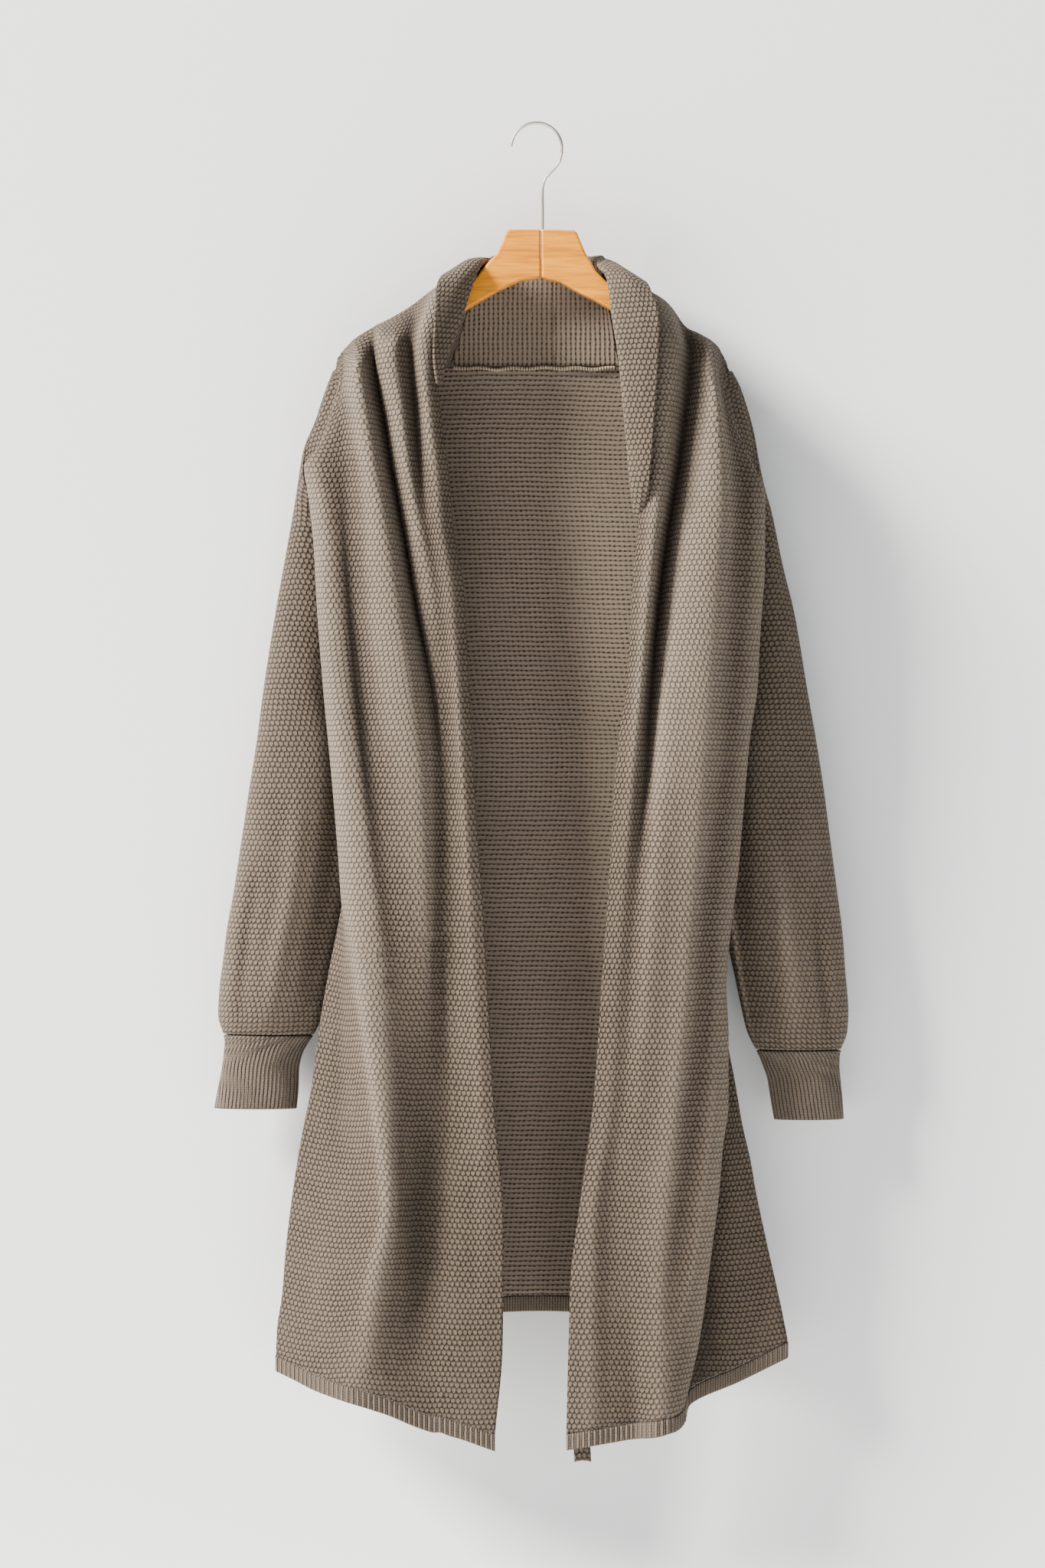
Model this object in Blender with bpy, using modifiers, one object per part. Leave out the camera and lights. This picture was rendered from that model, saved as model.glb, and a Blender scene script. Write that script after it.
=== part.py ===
"""Open-front cardigan of loose knit, draped on a wooden coat hanger with a wire hook.

The frame is the hanger's: the origin is the inside top of the hook's bend, +X is the viewer's
right, +Y points to the wall behind and +Z is up. Lengths here are millimetres until a mesh is made.
Each cloth panel is a sheet through a few named rails, which run down its folds from the shoulder
to the hem.
"""
import math

import bpy
import numpy as np

MM = 0.001
CLOTH = 3.0
SEAM = 0.4
COLLECTION_NAME = "open_front_cardigan"

# Heights that several pieces share.
YOKE_Z = -221.0
NECK_LEFT_X = -80.0
NECK_RIGHT_X = 77.0
CENTRE_BACK_X = 16.0
BACK_Y = 26.0
UNDERARM_Z = -563.0
ARMHOLE_GAP = 3.4
SLEEVE_SEAM = 0.65
SIDE_GAP = 0.9
COLLAR_GAP = 1.3
SLEEVE_COLUMNS = {"left": 24, "right": 30}

# Rib bands.
HEM_BAND = 15.0
RIB_PITCH = 5.0
RIB_RAISE = 1.2
CUFF_RIB_PITCH = 3.5
CUFF_RIB_RAISE = 0.9

# Share of the way down a front panel at which each row lies.
FRONT_ROWS = (0.0, 0.012, 0.028, 0.05, 0.075, 0.105, 0.135, 0.165, 0.195, 0.225, 0.255, 0.3,
              0.345, 0.39, 0.44, 0.49, 0.54, 0.59, 0.64, 0.69, 0.74, 0.79, 0.84, 0.89, 0.94, 1.0)

# Each rail is a table of z, x, y from the shoulder ridge down to the rib band.
LEFT_FRONT = {
    "edge": ((-135.6, -53.2, 0), (-147, -63, -16), (-176, -73, -27), (-199, -81, -31), (-220, -89, -33),
             (-238, -92, -34), (-250, -90, -35), (-276, -87, -36), (-328, -80, -38), (-376, -76, -39),
             (-426, -67, -40), (-493, -63, -40), (-650, -54, -40), (-731, -48, -40), (-895, -39, -40),
             (-1011, -30, -38), (-1120, -31, -36), (-1203, -38, -34)),
    "roll": ((-149, -88, 0), (-162, -94, -22), (-206, -104, -41), (-274, -99, -45), (-328, -92, -47),
             (-376, -87, -47), (-426, -79, -47), (-493, -74, -46), (-560, -70, -45), (-731, -60, -43),
             (-895, -51, -41), (-1011, -46, -38), (-1198, -52, -34)),
    "roll_groove": ((-168, -114, 0), (-184, -114, -14), (-206, -115, -24), (-274, -111, -27),
                    (-300, -109, -31), (-340, -104, -40), (-376, -98, -44), (-426, -89, -45),
                    (-493, -82, -43), (-560, -76, -41), (-731, -68, -40), (-895, -60, -38),
                    (-1011, -58, -35), (-1193, -66, -33)),
    "second_fold": ((-179, -132, 0), (-194, -131, -24), (-208, -131, -38), (-274, -123, -45),
                    (-315, -118, -46), (-376, -108, -46), (-426, -98, -45), (-493, -89, -41),
                    (-560, -82, -38), (-731, -78, -38), (-895, -70, -36), (-1011, -72, -33),
                    (-1189, -80, -32)),
    "deep_groove": ((-189, -150, 0), (-202, -148, -9), (-232, -143, -14), (-274, -135, -13),
                    (-315, -130, -12), (-381, -119, -12), (-451, -107, -14), (-493, -99, -20),
                    (-538, -92, -28), (-600, -89, -35), (-731, -88, -37), (-895, -80, -36),
                    (-1011, -86, -32), (-1186, -94, -32)),
    "main_crest": ((-199, -167, 0), (-213, -166, -24), (-232, -163, -42), (-315, -149, -48),
                   (-381, -137, -49), (-451, -126, -49), (-521, -116, -48), (-591, -109, -47),
                   (-731, -100, -45), (-895, -96, -41), (-1011, -104, -36), (-1180, -112, -35)),
    "trough": ((-205, -173, 0), (-218, -175, -16), (-250, -176, -24), (-300, -176, -26),
               (-360, -175, -27), (-451, -170, -28), (-550, -162, -30), (-660, -148, -36),
               (-731, -140, -40), (-895, -124, -46), (-1011, -122, -46), (-1170, -134, -40)),
    "outer_crest": ((-208, -176, 0), (-232, -176.5, -17), (-274, -184, -20), (-300, -193, -21),
                    (-317, -202, -23), (-345, -198, -28), (-390, -194, -30), (-451, -190, -32),
                    (-521, -184, -34), (-612, -175, -36), (-711, -167, -40), (-790, -157, -46),
                    (-876, -145, -51), (-990, -134, -54), (-1060, -146, -50), (-1161, -160, -42)),
    "outer_edge": ((-211, -178.5, 0), (-232, -179, -14), (-274, -188, -17), (-300, -199, -17),
                   (-317, -212, -14), (-345, -208, -15), (-390, -203, -16), (-451, -199.5, -17),
                   (-521, -194, -18), (-612, -185.5, -19), (-673, -180.6, -20), (-711, -178, -22),
                   (-743, -174, -26), (-790, -169, -31), (-876, -158, -40), (-990, -147, -48),
                   (-1060, -160, -45), (-1157, -175, -38)),
    "behind": ((-214, -180.2, 0), (-232, -180.6, -11), (-274, -191, -12.5), (-300, -199, -11),
               (-317, -205, -8), (-345, -198, -5), (-390, -189, -5), (-451, -181, -4), (-521, -173, -3),
               (-612, -167, -6), (-673, -169, -8), (-711, -171, -10), (-743, -176, -12),
               (-829, -179, -12), (-915, -180, -16), (-990, -184, -24), (-1060, -196, -26),
               (-1149, -204, -22)),
    "side": ((-217, -182.5, 0), (-232, -185, -3), (-274, -198, -3), (-300, -204, -1), (-317, -203, 1),
             (-345, -196, 1), (-390, -189, 1), (-451, -186, 2), (-521, -180, 3), (-575, -168, 21),
             (-612, -164, 16), (-650, -164, 11), (-673, -168, 8), (-711, -177, 5), (-743, -183, 3), (-775, -190, 3),
             (-813, -197, 3), (-853, -203, 3), (-892, -208, 3), (-919, -213.5, 2), (-967, -222, 2),
             (-1038, -231, 1), (-1081, -234.5, 1), (-1111, -239, 1), (-1135, -240, 1)),
}

RIGHT_FRONT = {
    "edge": ((-138, 62, 0), (-147, 71, -16), (-176, 75, -27), (-217, 81, -33), (-281, 87, -36),
             (-333, 91.5, -38), (-372, 93, -39), (-398, 90, -39), (-436, 87, -40), (-515, 83, -40),
             (-558, 76, -40), (-608, 71, -40), (-680, 67, -40), (-787, 59.5, -40), (-895, 52, -39),
             (-988, 40, -38), (-1054, 31.5, -37), (-1115, 29, -36), (-1202, 27, -34)),
    "roll": ((-163, 117, 0), (-178, 121, -20), (-200, 123, -38), (-232, 123, -44), (-281, 119, -46),
             (-340, 113, -48), (-390, 107, -48), (-443, 102, -48), (-521, 95, -47), (-591, 88, -46),
             (-680, 80, -45), (-895, 66, -43), (-1011, 50, -42), (-1198, 48, -38)),
    "roll_groove": ((-188, 137, 0), (-203, 139, -9), (-217, 141, -13), (-260, 137, -12),
                    (-311, 131, -10), (-395, 118, -10), (-443, 112, -13), (-493, 107, -18),
                    (-550, 103, -26), (-591, 101, -32), (-640, 97, -38), (-731, 90, -42),
                    (-895, 80, -41), (-1011, 66, -38), (-1195, 69, -34)),
    "slope": ((-194, 149, 0), (-208, 151, -18), (-232, 151, -29), (-311, 143, -34), (-395, 131, -38),
              (-493, 122, -42), (-591, 117, -45), (-731, 108, -46), (-895, 96, -44),
              (-1011, 85, -40), (-1192, 89, -32)),
    "main_crest": ((-201, 161, 0), (-214, 159.5, -26), (-250, 162.5, -40), (-281, 165, -45),
                   (-346, 166, -49), (-420, 160, -51), (-591, 148, -52), (-731, 139, -52),
                   (-857, 130, -52), (-950, 122, -50), (-1060, 113, -45), (-1189, 109, -42)),
    "trough": ((-207, 167, 0), (-222, 166.5, -14), (-240, 167, -20), (-281, 174.5, -25), (-346, 187, -30), (-420, 184, -36),
               (-521, 178, -38), (-638, 166, -42), (-741, 155, -44), (-836, 150, -44),
               (-939, 142, -43), (-1060, 131, -40), (-1186, 121, -40)),
    "outer_crest": ((-211, 169, 0), (-240, 169, -17), (-283, 178.5, -21), (-314, 189, -23),
                    (-344, 199, -26), (-405, 200, -29), (-465, 196, -31), (-521, 193, -31),
                    (-561, 187, -32), (-638, 179, -34), (-741, 168, -36), (-836, 165, -36),
                    (-900, 164, -36), (-982, 156, -36), (-1077, 143, -35), (-1185, 127, -33)),
    "outer_edge": ((-214, 170.8, 0), (-240, 171.3, -14), (-283, 181.5, -18), (-314, 196, -18),
                   (-344, 208.5, -15), (-405, 208, -16), (-465, 204, -17), (-521, 201, -17),
                   (-561, 195, -18), (-638, 188, -19), (-685, 184, -20), (-741, 177, -20),
                   (-796, 173, -20), (-836, 175, -20), (-900, 175, -20), (-939, 170, -20),
                   (-982, 166.6, -20), (-1039, 159.6, -20), (-1077, 154.7, -20), (-1123, 147, -20),
                   (-1180, 134, -20)),
    "behind": ((-217.5, 172.4, 0), (-240, 173.8, -11), (-283, 184.3, -14), (-314, 194, -12), (-344, 198.5, -7),
               (-375, 193, -6), (-405, 188, -5), (-465, 184, -5), (-521, 176, -4), (-638, 168, -6), (-741, 164, -6),
               (-836, 161, -6), (-900, 159, -6), (-982, 151, -6), (-1077, 144, -5), (-1166, 140, -4)),
    "side": ((-221, 174, 0), (-240, 178, -7), (-283, 193, -2), (-314, 198, -1), (-344, 199, 1),
             (-405, 193, 2), (-465, 189, 2), (-521, 184, 3), (-575, 168, 20), (-612, 164, 15),
             (-650, 163, 10), (-700, 164, 6), (-741, 167, 4), (-800, 170, 4), (-848, 176, 4), (-885, 183, 4), (-925, 190, 4),
             (-955, 197, 4), (-983.5, 202, 4), (-1039.5, 214, 4), (-1070, 221, 4), (-1100, 227.5, 4),
             (-1123, 232, 4)),
}

# Each collar row is the roll at a station: where it leaves the cloth, its turn, middle and free edge.
LEFT_COLLAR = (
    ((15.8, 28, -126), (15.8, 32, -121), (15.8, 38, -146), (15.8, 39, -172)),
    ((-12, 26, -125.5), (-13, 30, -120.5), (-16, 37, -145), (-20, 38, -171)),
    ((-36, 18, -125), (-38, 21, -119.5), (-50, 31, -142), (-64, 33, -168)),
    ((-44.5, 11, -129), (-42, 12, -123), (-57, 20, -128), (-77, 23, -149)),
    ((-52, 0.5, -131.3), (-49.5, 0, -126), (-62, 0, -125.5), (-81, 0, -139)),
    ((-60.5, -14, -145), (-56.5, -18.5, -141.5), (-69, -31, -144), (-91, -37, -152)),
    ((-70.8, -26, -176), (-67.5, -30.5, -176), (-78, -40, -176), (-93, -47, -177)),
    ((-78.8, -30, -199), (-75.5, -34.5, -199), (-84, -43, -199), (-94, -49, -200)),
    ((-85.8, -31.4, -220), (-83.2, -36.5, -220), (-88, -43, -221), (-94, -49, -222)),
    ((-87.6, -32, -237), (-86, -37.5, -238), (-89, -43, -238), (-92, -47.5, -239)),
)

RIGHT_COLLAR = (
    ((16.2, 28, -126), (16.2, 32, -121), (16.2, 38, -146), (16.2, 39, -172)),
    ((40, 26, -125), (42, 30, -120), (46, 37, -144), (50, 38, -170)),
    ((57, 18, -125), (60, 21, -119.5), (73, 31, -141), (86, 33, -166)),
    ((57, 11, -129.5), (55.5, 12, -122.5), (72, 20, -127), (94, 23, -151)),
    ((59.7, 0, -134.5), (56.6, 0, -129.3), (74, 0, -130.5), (98, 0, -146)),
    ((68.5, -14, -145), (64.5, -18.5, -141.5), (81, -33, -146), (104, -40, -158)),
    ((72.8, -26.2, -176), (69.5, -30.5, -176), (89, -44, -177), (111, -52, -179)),
    ((78.8, -32, -217), (75.5, -36.5, -217), (93, -48, -217), (111, -53, -217)),
    ((84.8, -35, -281), (81.5, -39.5, -281), (94, -49, -281), (107, -54, -281)),
    ((89.3, -37, -333), (86, -41.5, -333), (93, -50, -333), (101, -55, -333)),
    ((90.8, -38, -370), (88, -42.5, -370), (91, -49, -370), (95, -53, -370)),
)

# Each sleeve row is z, inner x, outer x, centre y, half depth, and the half angle left open.
LEFT_SLEEVE = (
    (-227, -182, -189, 1, 8, 80), (-250, -186, -196.5, 2, 10, 78), (-274, -191, -203.5, 4, 11, 76),
    (-300, -197, -214, 9, 11, 70), (-320, -197, -218, 14, 12, 64), (-345, -194, -222, 18, 14, 56),
    (-390, -187, -230, 21, 17, 46), (-451, -184, -241, 23, 19, 34), (-521, -180, -252, 24, 21, 16),
    (-567, -173, -258, 24, 22, 0), (-612, -170, -265, 24, 23, 0), (-658, -172, -272, 24, 24, 0),
    (-711, -178, -280, 24, 25, 0), (-744, -184, -286, 24, 26, 0), (-769, -189, -289, 24, 26, 0),
    (-800, -194, -293, 24, 26, 0), (-822, -199, -294, 24, 24, 0), (-840, -208, -289, 24, 19, 0),
)

RIGHT_SLEEVE = (
    (-228, 173, 182.5, 1, 8, 80), (-245, 174, 188, 2, 10, 78), (-283, 184, 199, 4, 11, 76),
    (-314, 188, 205, 9, 11, 70), (-335, 193, 210, 14, 12, 64), (-355, 196, 216, 18, 13, 56),
    (-406, 190, 227, 21, 17, 46), (-451, 187, 238, 23, 19, 34), (-525, 183, 250.6, 24, 21, 16),
    (-567, 176, 258, 24, 22, 0), (-612, 175, 265, 24, 23, 0), (-658, 174, 271, 24, 24, 0),
    (-700, 174, 276.5, 24, 25, 0), (-751, 178, 283, 24, 26, 0), (-780, 184, 285, 24, 26, 0),
    (-820, 192.5, 288, 24, 25, 0), (-838, 197, 287, 24, 23, 0), (-854, 205, 281, 24, 19, 0),
)

# Each cuff row is z, inner x, outer x, centre y and half depth.
LEFT_CUFF = ((-840.8, -209, -288, 24, 18), (-848, -214, -287, 24, 16), (-858, -219, -288, 24, 15),
             (-872, -222, -290, 24, 14), (-892, -222.6, -294, 24, 14), (-909, -224, -297.5, 24, 14))
RIGHT_CUFF = ((-854.8, 206, 280.5, 24, 18), (-861, 209, 279, 24, 16), (-869, 212, 279, 24, 15),
              (-881, 216, 280, 24, 14), (-900, 219, 282, 24, 14), (-919, 222, 283.5, 24, 14))


def smooth(table, z):
    """The other columns of a table at height z, on a curve that never overshoots its rows."""
    rows = np.array(table, dtype=float)
    heights = -rows[:, 0]
    values = rows[:, 1:]
    gaps = np.diff(heights)
    slopes = np.diff(values, axis=0) / gaps[:, None]
    tangents = np.zeros_like(values)
    tangents[0] = slopes[0]
    tangents[-1] = slopes[-1]
    before, after = slopes[:-1], slopes[1:]
    same_way = before * after > 0.0
    tangents[1:-1][same_way] = 2.0 * before[same_way] * after[same_way] / (before + after)[same_way]
    depth = min(max(-z, heights[0]), heights[-1])
    row = min(max(int(np.searchsorted(heights, depth)) - 1, 0), len(gaps) - 1)
    t = (depth - heights[row]) / gaps[row]
    start, end = values[row], values[row + 1]
    pull_start, pull_end = tangents[row] * gaps[row], tangents[row + 1] * gaps[row]
    return (start * (2 * t**3 - 3 * t**2 + 1) + pull_start * (t**3 - 2 * t**2 + t)
            + end * (3 * t**2 - 2 * t**3) + pull_end * (t**3 - t**2))


def spline(points, steps):
    """Points of a centripetal Catmull-Rom curve through the given ones, steps to each gap."""
    points = np.array(points, dtype=float)
    ends = (2 * points[0] - points[1], 2 * points[-1] - points[-2])
    guides = np.vstack((ends[0], points, ends[1]))
    curve = []
    for gap in range(len(points) - 1):
        p0, p1, p2, p3 = guides[gap:gap + 4]
        knots = np.cumsum([0.0] + [max(np.linalg.norm(b - a), 1e-6) ** 0.5
                                   for a, b in ((p0, p1), (p1, p2), (p2, p3))])
        for step in range(steps):
            t = knots[1] + (knots[2] - knots[1]) * step / steps
            a1 = (p0 * (knots[1] - t) + p1 * (t - knots[0])) / (knots[1] - knots[0])
            a2 = (p1 * (knots[2] - t) + p2 * (t - knots[1])) / (knots[2] - knots[1])
            a3 = (p2 * (knots[3] - t) + p3 * (t - knots[2])) / (knots[3] - knots[2])
            b1 = (a1 * (knots[2] - t) + a2 * (t - knots[0])) / (knots[2] - knots[0])
            b2 = (a2 * (knots[3] - t) + a3 * (t - knots[1])) / (knots[3] - knots[1])
            curve.append((b1 * (knots[2] - t) + b2 * (t - knots[1])) / (knots[2] - knots[1]))
    curve.append(points[-1])
    return np.array(curve)


def ring_point(section, angle):
    """A point of a sleeve's section; angle 0 faces the body and a quarter turn faces the front."""
    inner_x, outer_x, centre_y, half_depth = section[:4]
    centre_x = (inner_x + outer_x) / 2
    return np.array((centre_x + (inner_x - centre_x) * math.cos(angle),
                     centre_y - half_depth * math.sin(angle)))


def armhole_point(sleeve, z, rear):
    """The body's edge at the armhole, a seam's width in from the sleeve's front or rear edge."""
    section = smooth(sleeve, z)
    open_angle = math.radians(section[4])
    turn = -1.0 if rear else 1.0
    edge = ring_point(section, turn * open_angle)
    along = ring_point(section, turn * (open_angle - 0.05)) - edge
    along /= np.linalg.norm(along)
    to_body = np.array((1.0 if section[0] > section[1] else -1.0, 0.0))
    share = min(section[4] / 60.0, 1.0)
    edge = edge + (along * share + to_body * (1.0 - share)) * ARMHOLE_GAP
    least = (CLOTH + SIDE_GAP) / 2
    if (edge[1] - section[2]) * -turn < least:
        edge[1] = section[2] - turn * least
    return edge


def side_point(rails, sleeve, z, rear):
    """The edge of the body's side at height z: the armhole, and the side seam below the arm."""
    if sleeve[0][0] > z > UNDERARM_Z:
        return armhole_point(sleeve, z, rear)
    x, y = smooth(rails["side"], z)
    return np.array((x, y + (CLOTH + SIDE_GAP if rear else 0.0)))


def yoke_seam(x):
    """Depth and height of the seam between the yoke and the back panel at x."""
    to_end = min(x + 185.0, 180.0 - x)
    depth = 9.0 + (BACK_Y - 11.0) * min(max(to_end / 90.0, 0.0), 1.0) ** 0.6
    drop = 7.0 * max(1.0 - to_end / 30.0, 0.0)
    return depth, YOKE_Z - drop - 0.04 * max(x - NECK_RIGHT_X, 0.0)


def front_grid(rails, sleeve, neck_x, steps):
    """A front panel from its yoke seam over the shoulder to the rib band, a row at a time."""
    grid = []
    names = list(rails)
    for arch in (0.0, 0.36, 0.68, 0.87):
        row = []
        for name in names:
            ridge_z, ridge_x, ridge_y = rails[name][0]
            seam_x = neck_x if name == "edge" else ridge_x
            depth, seam_z = yoke_seam(seam_x)
            turn = math.radians(90.0 * arch)
            rise = math.sin(turn)
            row.append((seam_x + (ridge_x - seam_x) * rise, depth * math.cos(turn),
                        seam_z + (ridge_z - seam_z) * rise))
        grid.append(spline(row, steps))
    for share in FRONT_ROWS:
        row = []
        for name in names:
            top, bottom = rails[name][0][0], rails[name][-1][0]
            z = top + (bottom - top) * share
            if name == "side":
                x, y = side_point(rails, sleeve, z, rear=False)
            else:
                x, y = smooth(rails[name], z)
            row.append((x, y, z))
        grid.append(spline(row, steps))
    return np.array(grid)


BACK_SHARES = (0.0, 0.025, 0.07, 0.15, 0.24, 0.33, 0.42, 0.5, 0.58, 0.67, 0.76, 0.85, 0.93, 0.975, 1.0)
BACK_ROWS = (0.0, 0.03, 0.07, 0.12, 0.18, 0.25, 0.32, 0.37, 0.41, 0.46, 0.52, 0.58, 0.65, 0.72, 0.79,
             0.86, 0.93, 1.0)
BACK_HEM_Z = -1083.0


def back_hem_z(share):
    """Height of the back's rib band: highest at the middle, lowest at the side seams."""
    corner = LEFT_FRONT["side"][-1][0] if share < 0.5 else RIGHT_FRONT["side"][-1][0]
    return BACK_HEM_Z + (corner - BACK_HEM_Z) * abs(2 * share - 1) ** 2.2


def back_grid(shares, rows):
    """The back panel from its yoke and neck seam to the rib band."""
    grid = []
    for down in rows:
        row = []
        for share in shares:
            centre_x = -185.0 + 365.0 * share
            top = yoke_seam(centre_x)[1] - 2 * SEAM
            z = top + (back_hem_z(share) - top) * down
            left = side_point(LEFT_FRONT, LEFT_SLEEVE, z, rear=True)
            right = side_point(RIGHT_FRONT, RIGHT_SLEEVE, z, rear=True)
            x = left[0] + (right[0] - left[0]) * share
            to_side = min(share, 1 - share)
            edge_y = left[1] if share < 0.5 else right[1]
            flat_y = BACK_Y + 3.0 * math.sin(0.045 * x + 0.6) * min(4 * down, 1.0)
            if down == 0.0:
                flat_y = yoke_seam(centre_x)[0]
            blend = min(to_side / 0.15, 1.0) ** 0.55
            row.append((x, edge_y + (flat_y - edge_y) * blend, z))
        grid.append(row)
    return np.array(grid)


def sleeve_grid(table, columns):
    """A sleeve from the armhole to the cuff, with its seam facing the body."""
    grid = []
    for row in table:
        z, section = row[0], row[1:]
        gap = SLEEVE_SEAM / section[3]
        open_angle = math.radians(section[4]) + gap
        angles = np.linspace(open_angle, 2 * math.pi - open_angle, columns)
        grid.append([(*ring_point(section, angle), z) for angle in angles])
    return np.array(grid)


def stand_grid(collar, rails, neck_x, steps):
    """Half of the collar's stand: the back-neck cloth from the neck seam up to the roll."""
    tops, feet = [], []
    ridge_z, ridge_x, _ = rails["edge"][0]
    centre = collar[0][0][0]
    side = 1.0 if neck_x > centre else -1.0
    path = ((centre, 28.0, -126 - COLLAR_GAP), *[(station[0][0], station[0][1], station[0][2] - COLLAR_GAP)
                                      for station in collar[1:3]])
    for top in path:
        reach = (top[0] - centre) / (neck_x - centre)
        tops.append(top)
        foot_x = centre + (neck_x - side * 2 * SEAM - centre) * reach
        feet.append((foot_x, yoke_seam(foot_x)[0], YOKE_Z))
    depth, seam_z = yoke_seam(neck_x)
    tops.append((ridge_x - side * 3.0, 9.0, ridge_z + 1.5))
    feet.append((neck_x - side * 2 * SEAM, depth, seam_z))
    top_curve, foot_curve = spline(tops, steps), spline(feet, steps)
    grid = []
    for rise in (0.0, 0.25, 0.5, 0.75, 1.0):
        turn = math.radians(90.0 * rise)
        row = foot_curve + (top_curve - foot_curve) * rise
        for point, foot, top in zip(row, foot_curve, top_curve):
            point[0] = foot[0] + (top[0] - foot[0]) * math.sin(turn)
            point[1] = top[1] + (foot[1] - top[1]) * math.cos(turn)
            point[2] = foot[2] + (top[2] - foot[2]) * math.sin(turn)
        grid.append(row)
    return np.array(grid)


def fall_grid(collar, steps):
    """The collar's turned-back edge from centre back round to its end on the front."""
    across = [spline(station, 2) for station in collar]
    along = [spline([row[column] for row in across], steps) for column in range(len(across[0]))]
    return np.transpose(np.array(along), (1, 0, 2))


def make_material(name, colour, roughness, metallic=0.0):
    """A Principled material with a linear colour."""
    material = bpy.data.materials.new(name)
    material.use_nodes = True
    shader = material.node_tree.nodes["Principled BSDF"]
    shader.inputs["Base Color"].default_value = (*colour, 1.0)
    shader.inputs["Roughness"].default_value = roughness
    shader.inputs["Metallic"].default_value = metallic
    return material


def add_object(name, mesh, material, collection):
    """An object of this mesh and material in the part's collection."""
    mesh.materials.append(material)
    mesh.shade_smooth()
    part = bpy.data.objects.new(name, mesh)
    collection.objects.link(part)
    return part


def grid_faces(rows, columns, closed=False):
    """Quads between the points of a grid that is counted a row at a time."""
    faces = []
    for row in range(rows - 1):
        for column in range(columns if closed else columns - 1):
            following = (column + 1) % columns
            faces.append((row * columns + column, row * columns + following,
                          (row + 1) * columns + following, (row + 1) * columns + column))
    return faces


def add_sheet(name, grid, material, collection, flipped=False):
    """A cloth panel on a grid of points, thickened evenly to both sides."""
    rows, columns = grid.shape[:2]
    faces = grid_faces(rows, columns)
    if flipped:
        faces = [face[::-1] for face in faces]
    mesh = bpy.data.meshes.new(name)
    mesh.from_pydata((grid.reshape(-1, 3) * MM).tolist(), [], faces)
    panel = add_object(name, mesh, material, collection)
    wall = panel.modifiers.new("cloth_wall", "SOLIDIFY")
    wall.thickness = CLOTH * MM
    wall.offset = 0.0
    wall.use_rim = True
    return panel


def add_band(name, outer, inner, material, collection, closed):
    """A rib band between its raised outer points and its plain inner ones."""
    rows, columns = outer.shape[:2]
    total = rows * columns
    faces = grid_faces(rows, columns, closed)
    faces += [tuple(total + index for index in face[::-1]) for face in grid_faces(rows, columns, closed)]
    last = (rows - 1) * columns
    for column in range(columns if closed else columns - 1):
        following = (column + 1) % columns
        faces.append((following, column, total + column, total + following))
        faces.append((last + column, last + following, total + last + following, total + last + column))
    if not closed:
        for row in range(rows - 1):
            near, far = row * columns, row * columns + columns - 1
            faces.append((near, near + columns, total + near + columns, total + near))
            faces.append((far + columns, far, total + far, total + far + columns))
    points = np.vstack((outer.reshape(-1, 3), inner.reshape(-1, 3))) * MM
    mesh = bpy.data.meshes.new(name)
    mesh.from_pydata(points.tolist(), [], faces)
    signed = sum(points[face[0]] @ np.cross(points[face[i]], points[face[i + 1]])
                 for face in faces for i in range(1, len(face) - 1))
    if signed < 0.0:
        mesh.flip_normals()
    return add_object(name, mesh, material, collection)


def evenly(path, pitch, closed=False):
    """Points along a path, two to each rib of about this pitch."""
    if closed:
        path = np.vstack((path, path[:1]))
    lengths = np.concatenate(([0.0], np.cumsum(np.linalg.norm(np.diff(path, axis=0), axis=1))))
    ribs = max(int(round(lengths[-1] / pitch)), 3)
    places = np.linspace(0.0, lengths[-1], 2 * ribs + 1)
    if closed:
        places = places[:-1]
    return np.stack([np.interp(places, lengths, path[:, axis]) for axis in range(3)], axis=1)


def path_normals(path, closed, facing):
    """Level unit normals along a path, on the side that faces the given way on the whole."""
    if closed:
        ahead, behind = np.roll(path, -1, axis=0), np.roll(path, 1, axis=0)
        tangents = ahead - behind
    else:
        tangents = np.gradient(path, axis=0)
    normals = np.stack((tangents[:, 1], -tangents[:, 0], np.zeros(len(path))), axis=1)
    normals /= np.linalg.norm(normals, axis=1)[:, None]
    if np.sum(normals * facing) < 0.0:
        normals = -normals
    return normals


def add_hem_band(name, edge, facing, material, collection):
    """The rib band that hangs from a panel's lower edge."""
    path = evenly(edge, RIB_PITCH)
    normals = path_normals(path, False, np.array(facing))
    raise_by = np.where(np.arange(len(path)) % 2 == 1, RIB_RAISE, 0.0)[:, None]
    run = np.gradient(path, axis=0)
    slope = np.abs(run[:, 2]) / np.maximum(np.hypot(run[:, 0], run[:, 1]), 0.3)
    top = path.copy()
    top[:, 2] -= SEAM * (2.0 + 2.5 * np.minimum(slope, 2.0))
    bottom = top - (0.0, 0.0, HEM_BAND)
    outward = normals * (CLOTH / 2 + raise_by)
    inward = -normals * CLOTH / 2
    outer = np.array((top + outward, bottom + outward))
    inner = np.array((top + inward, bottom + inward))
    return add_band(name, outer, inner, material, collection, closed=False)


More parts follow.
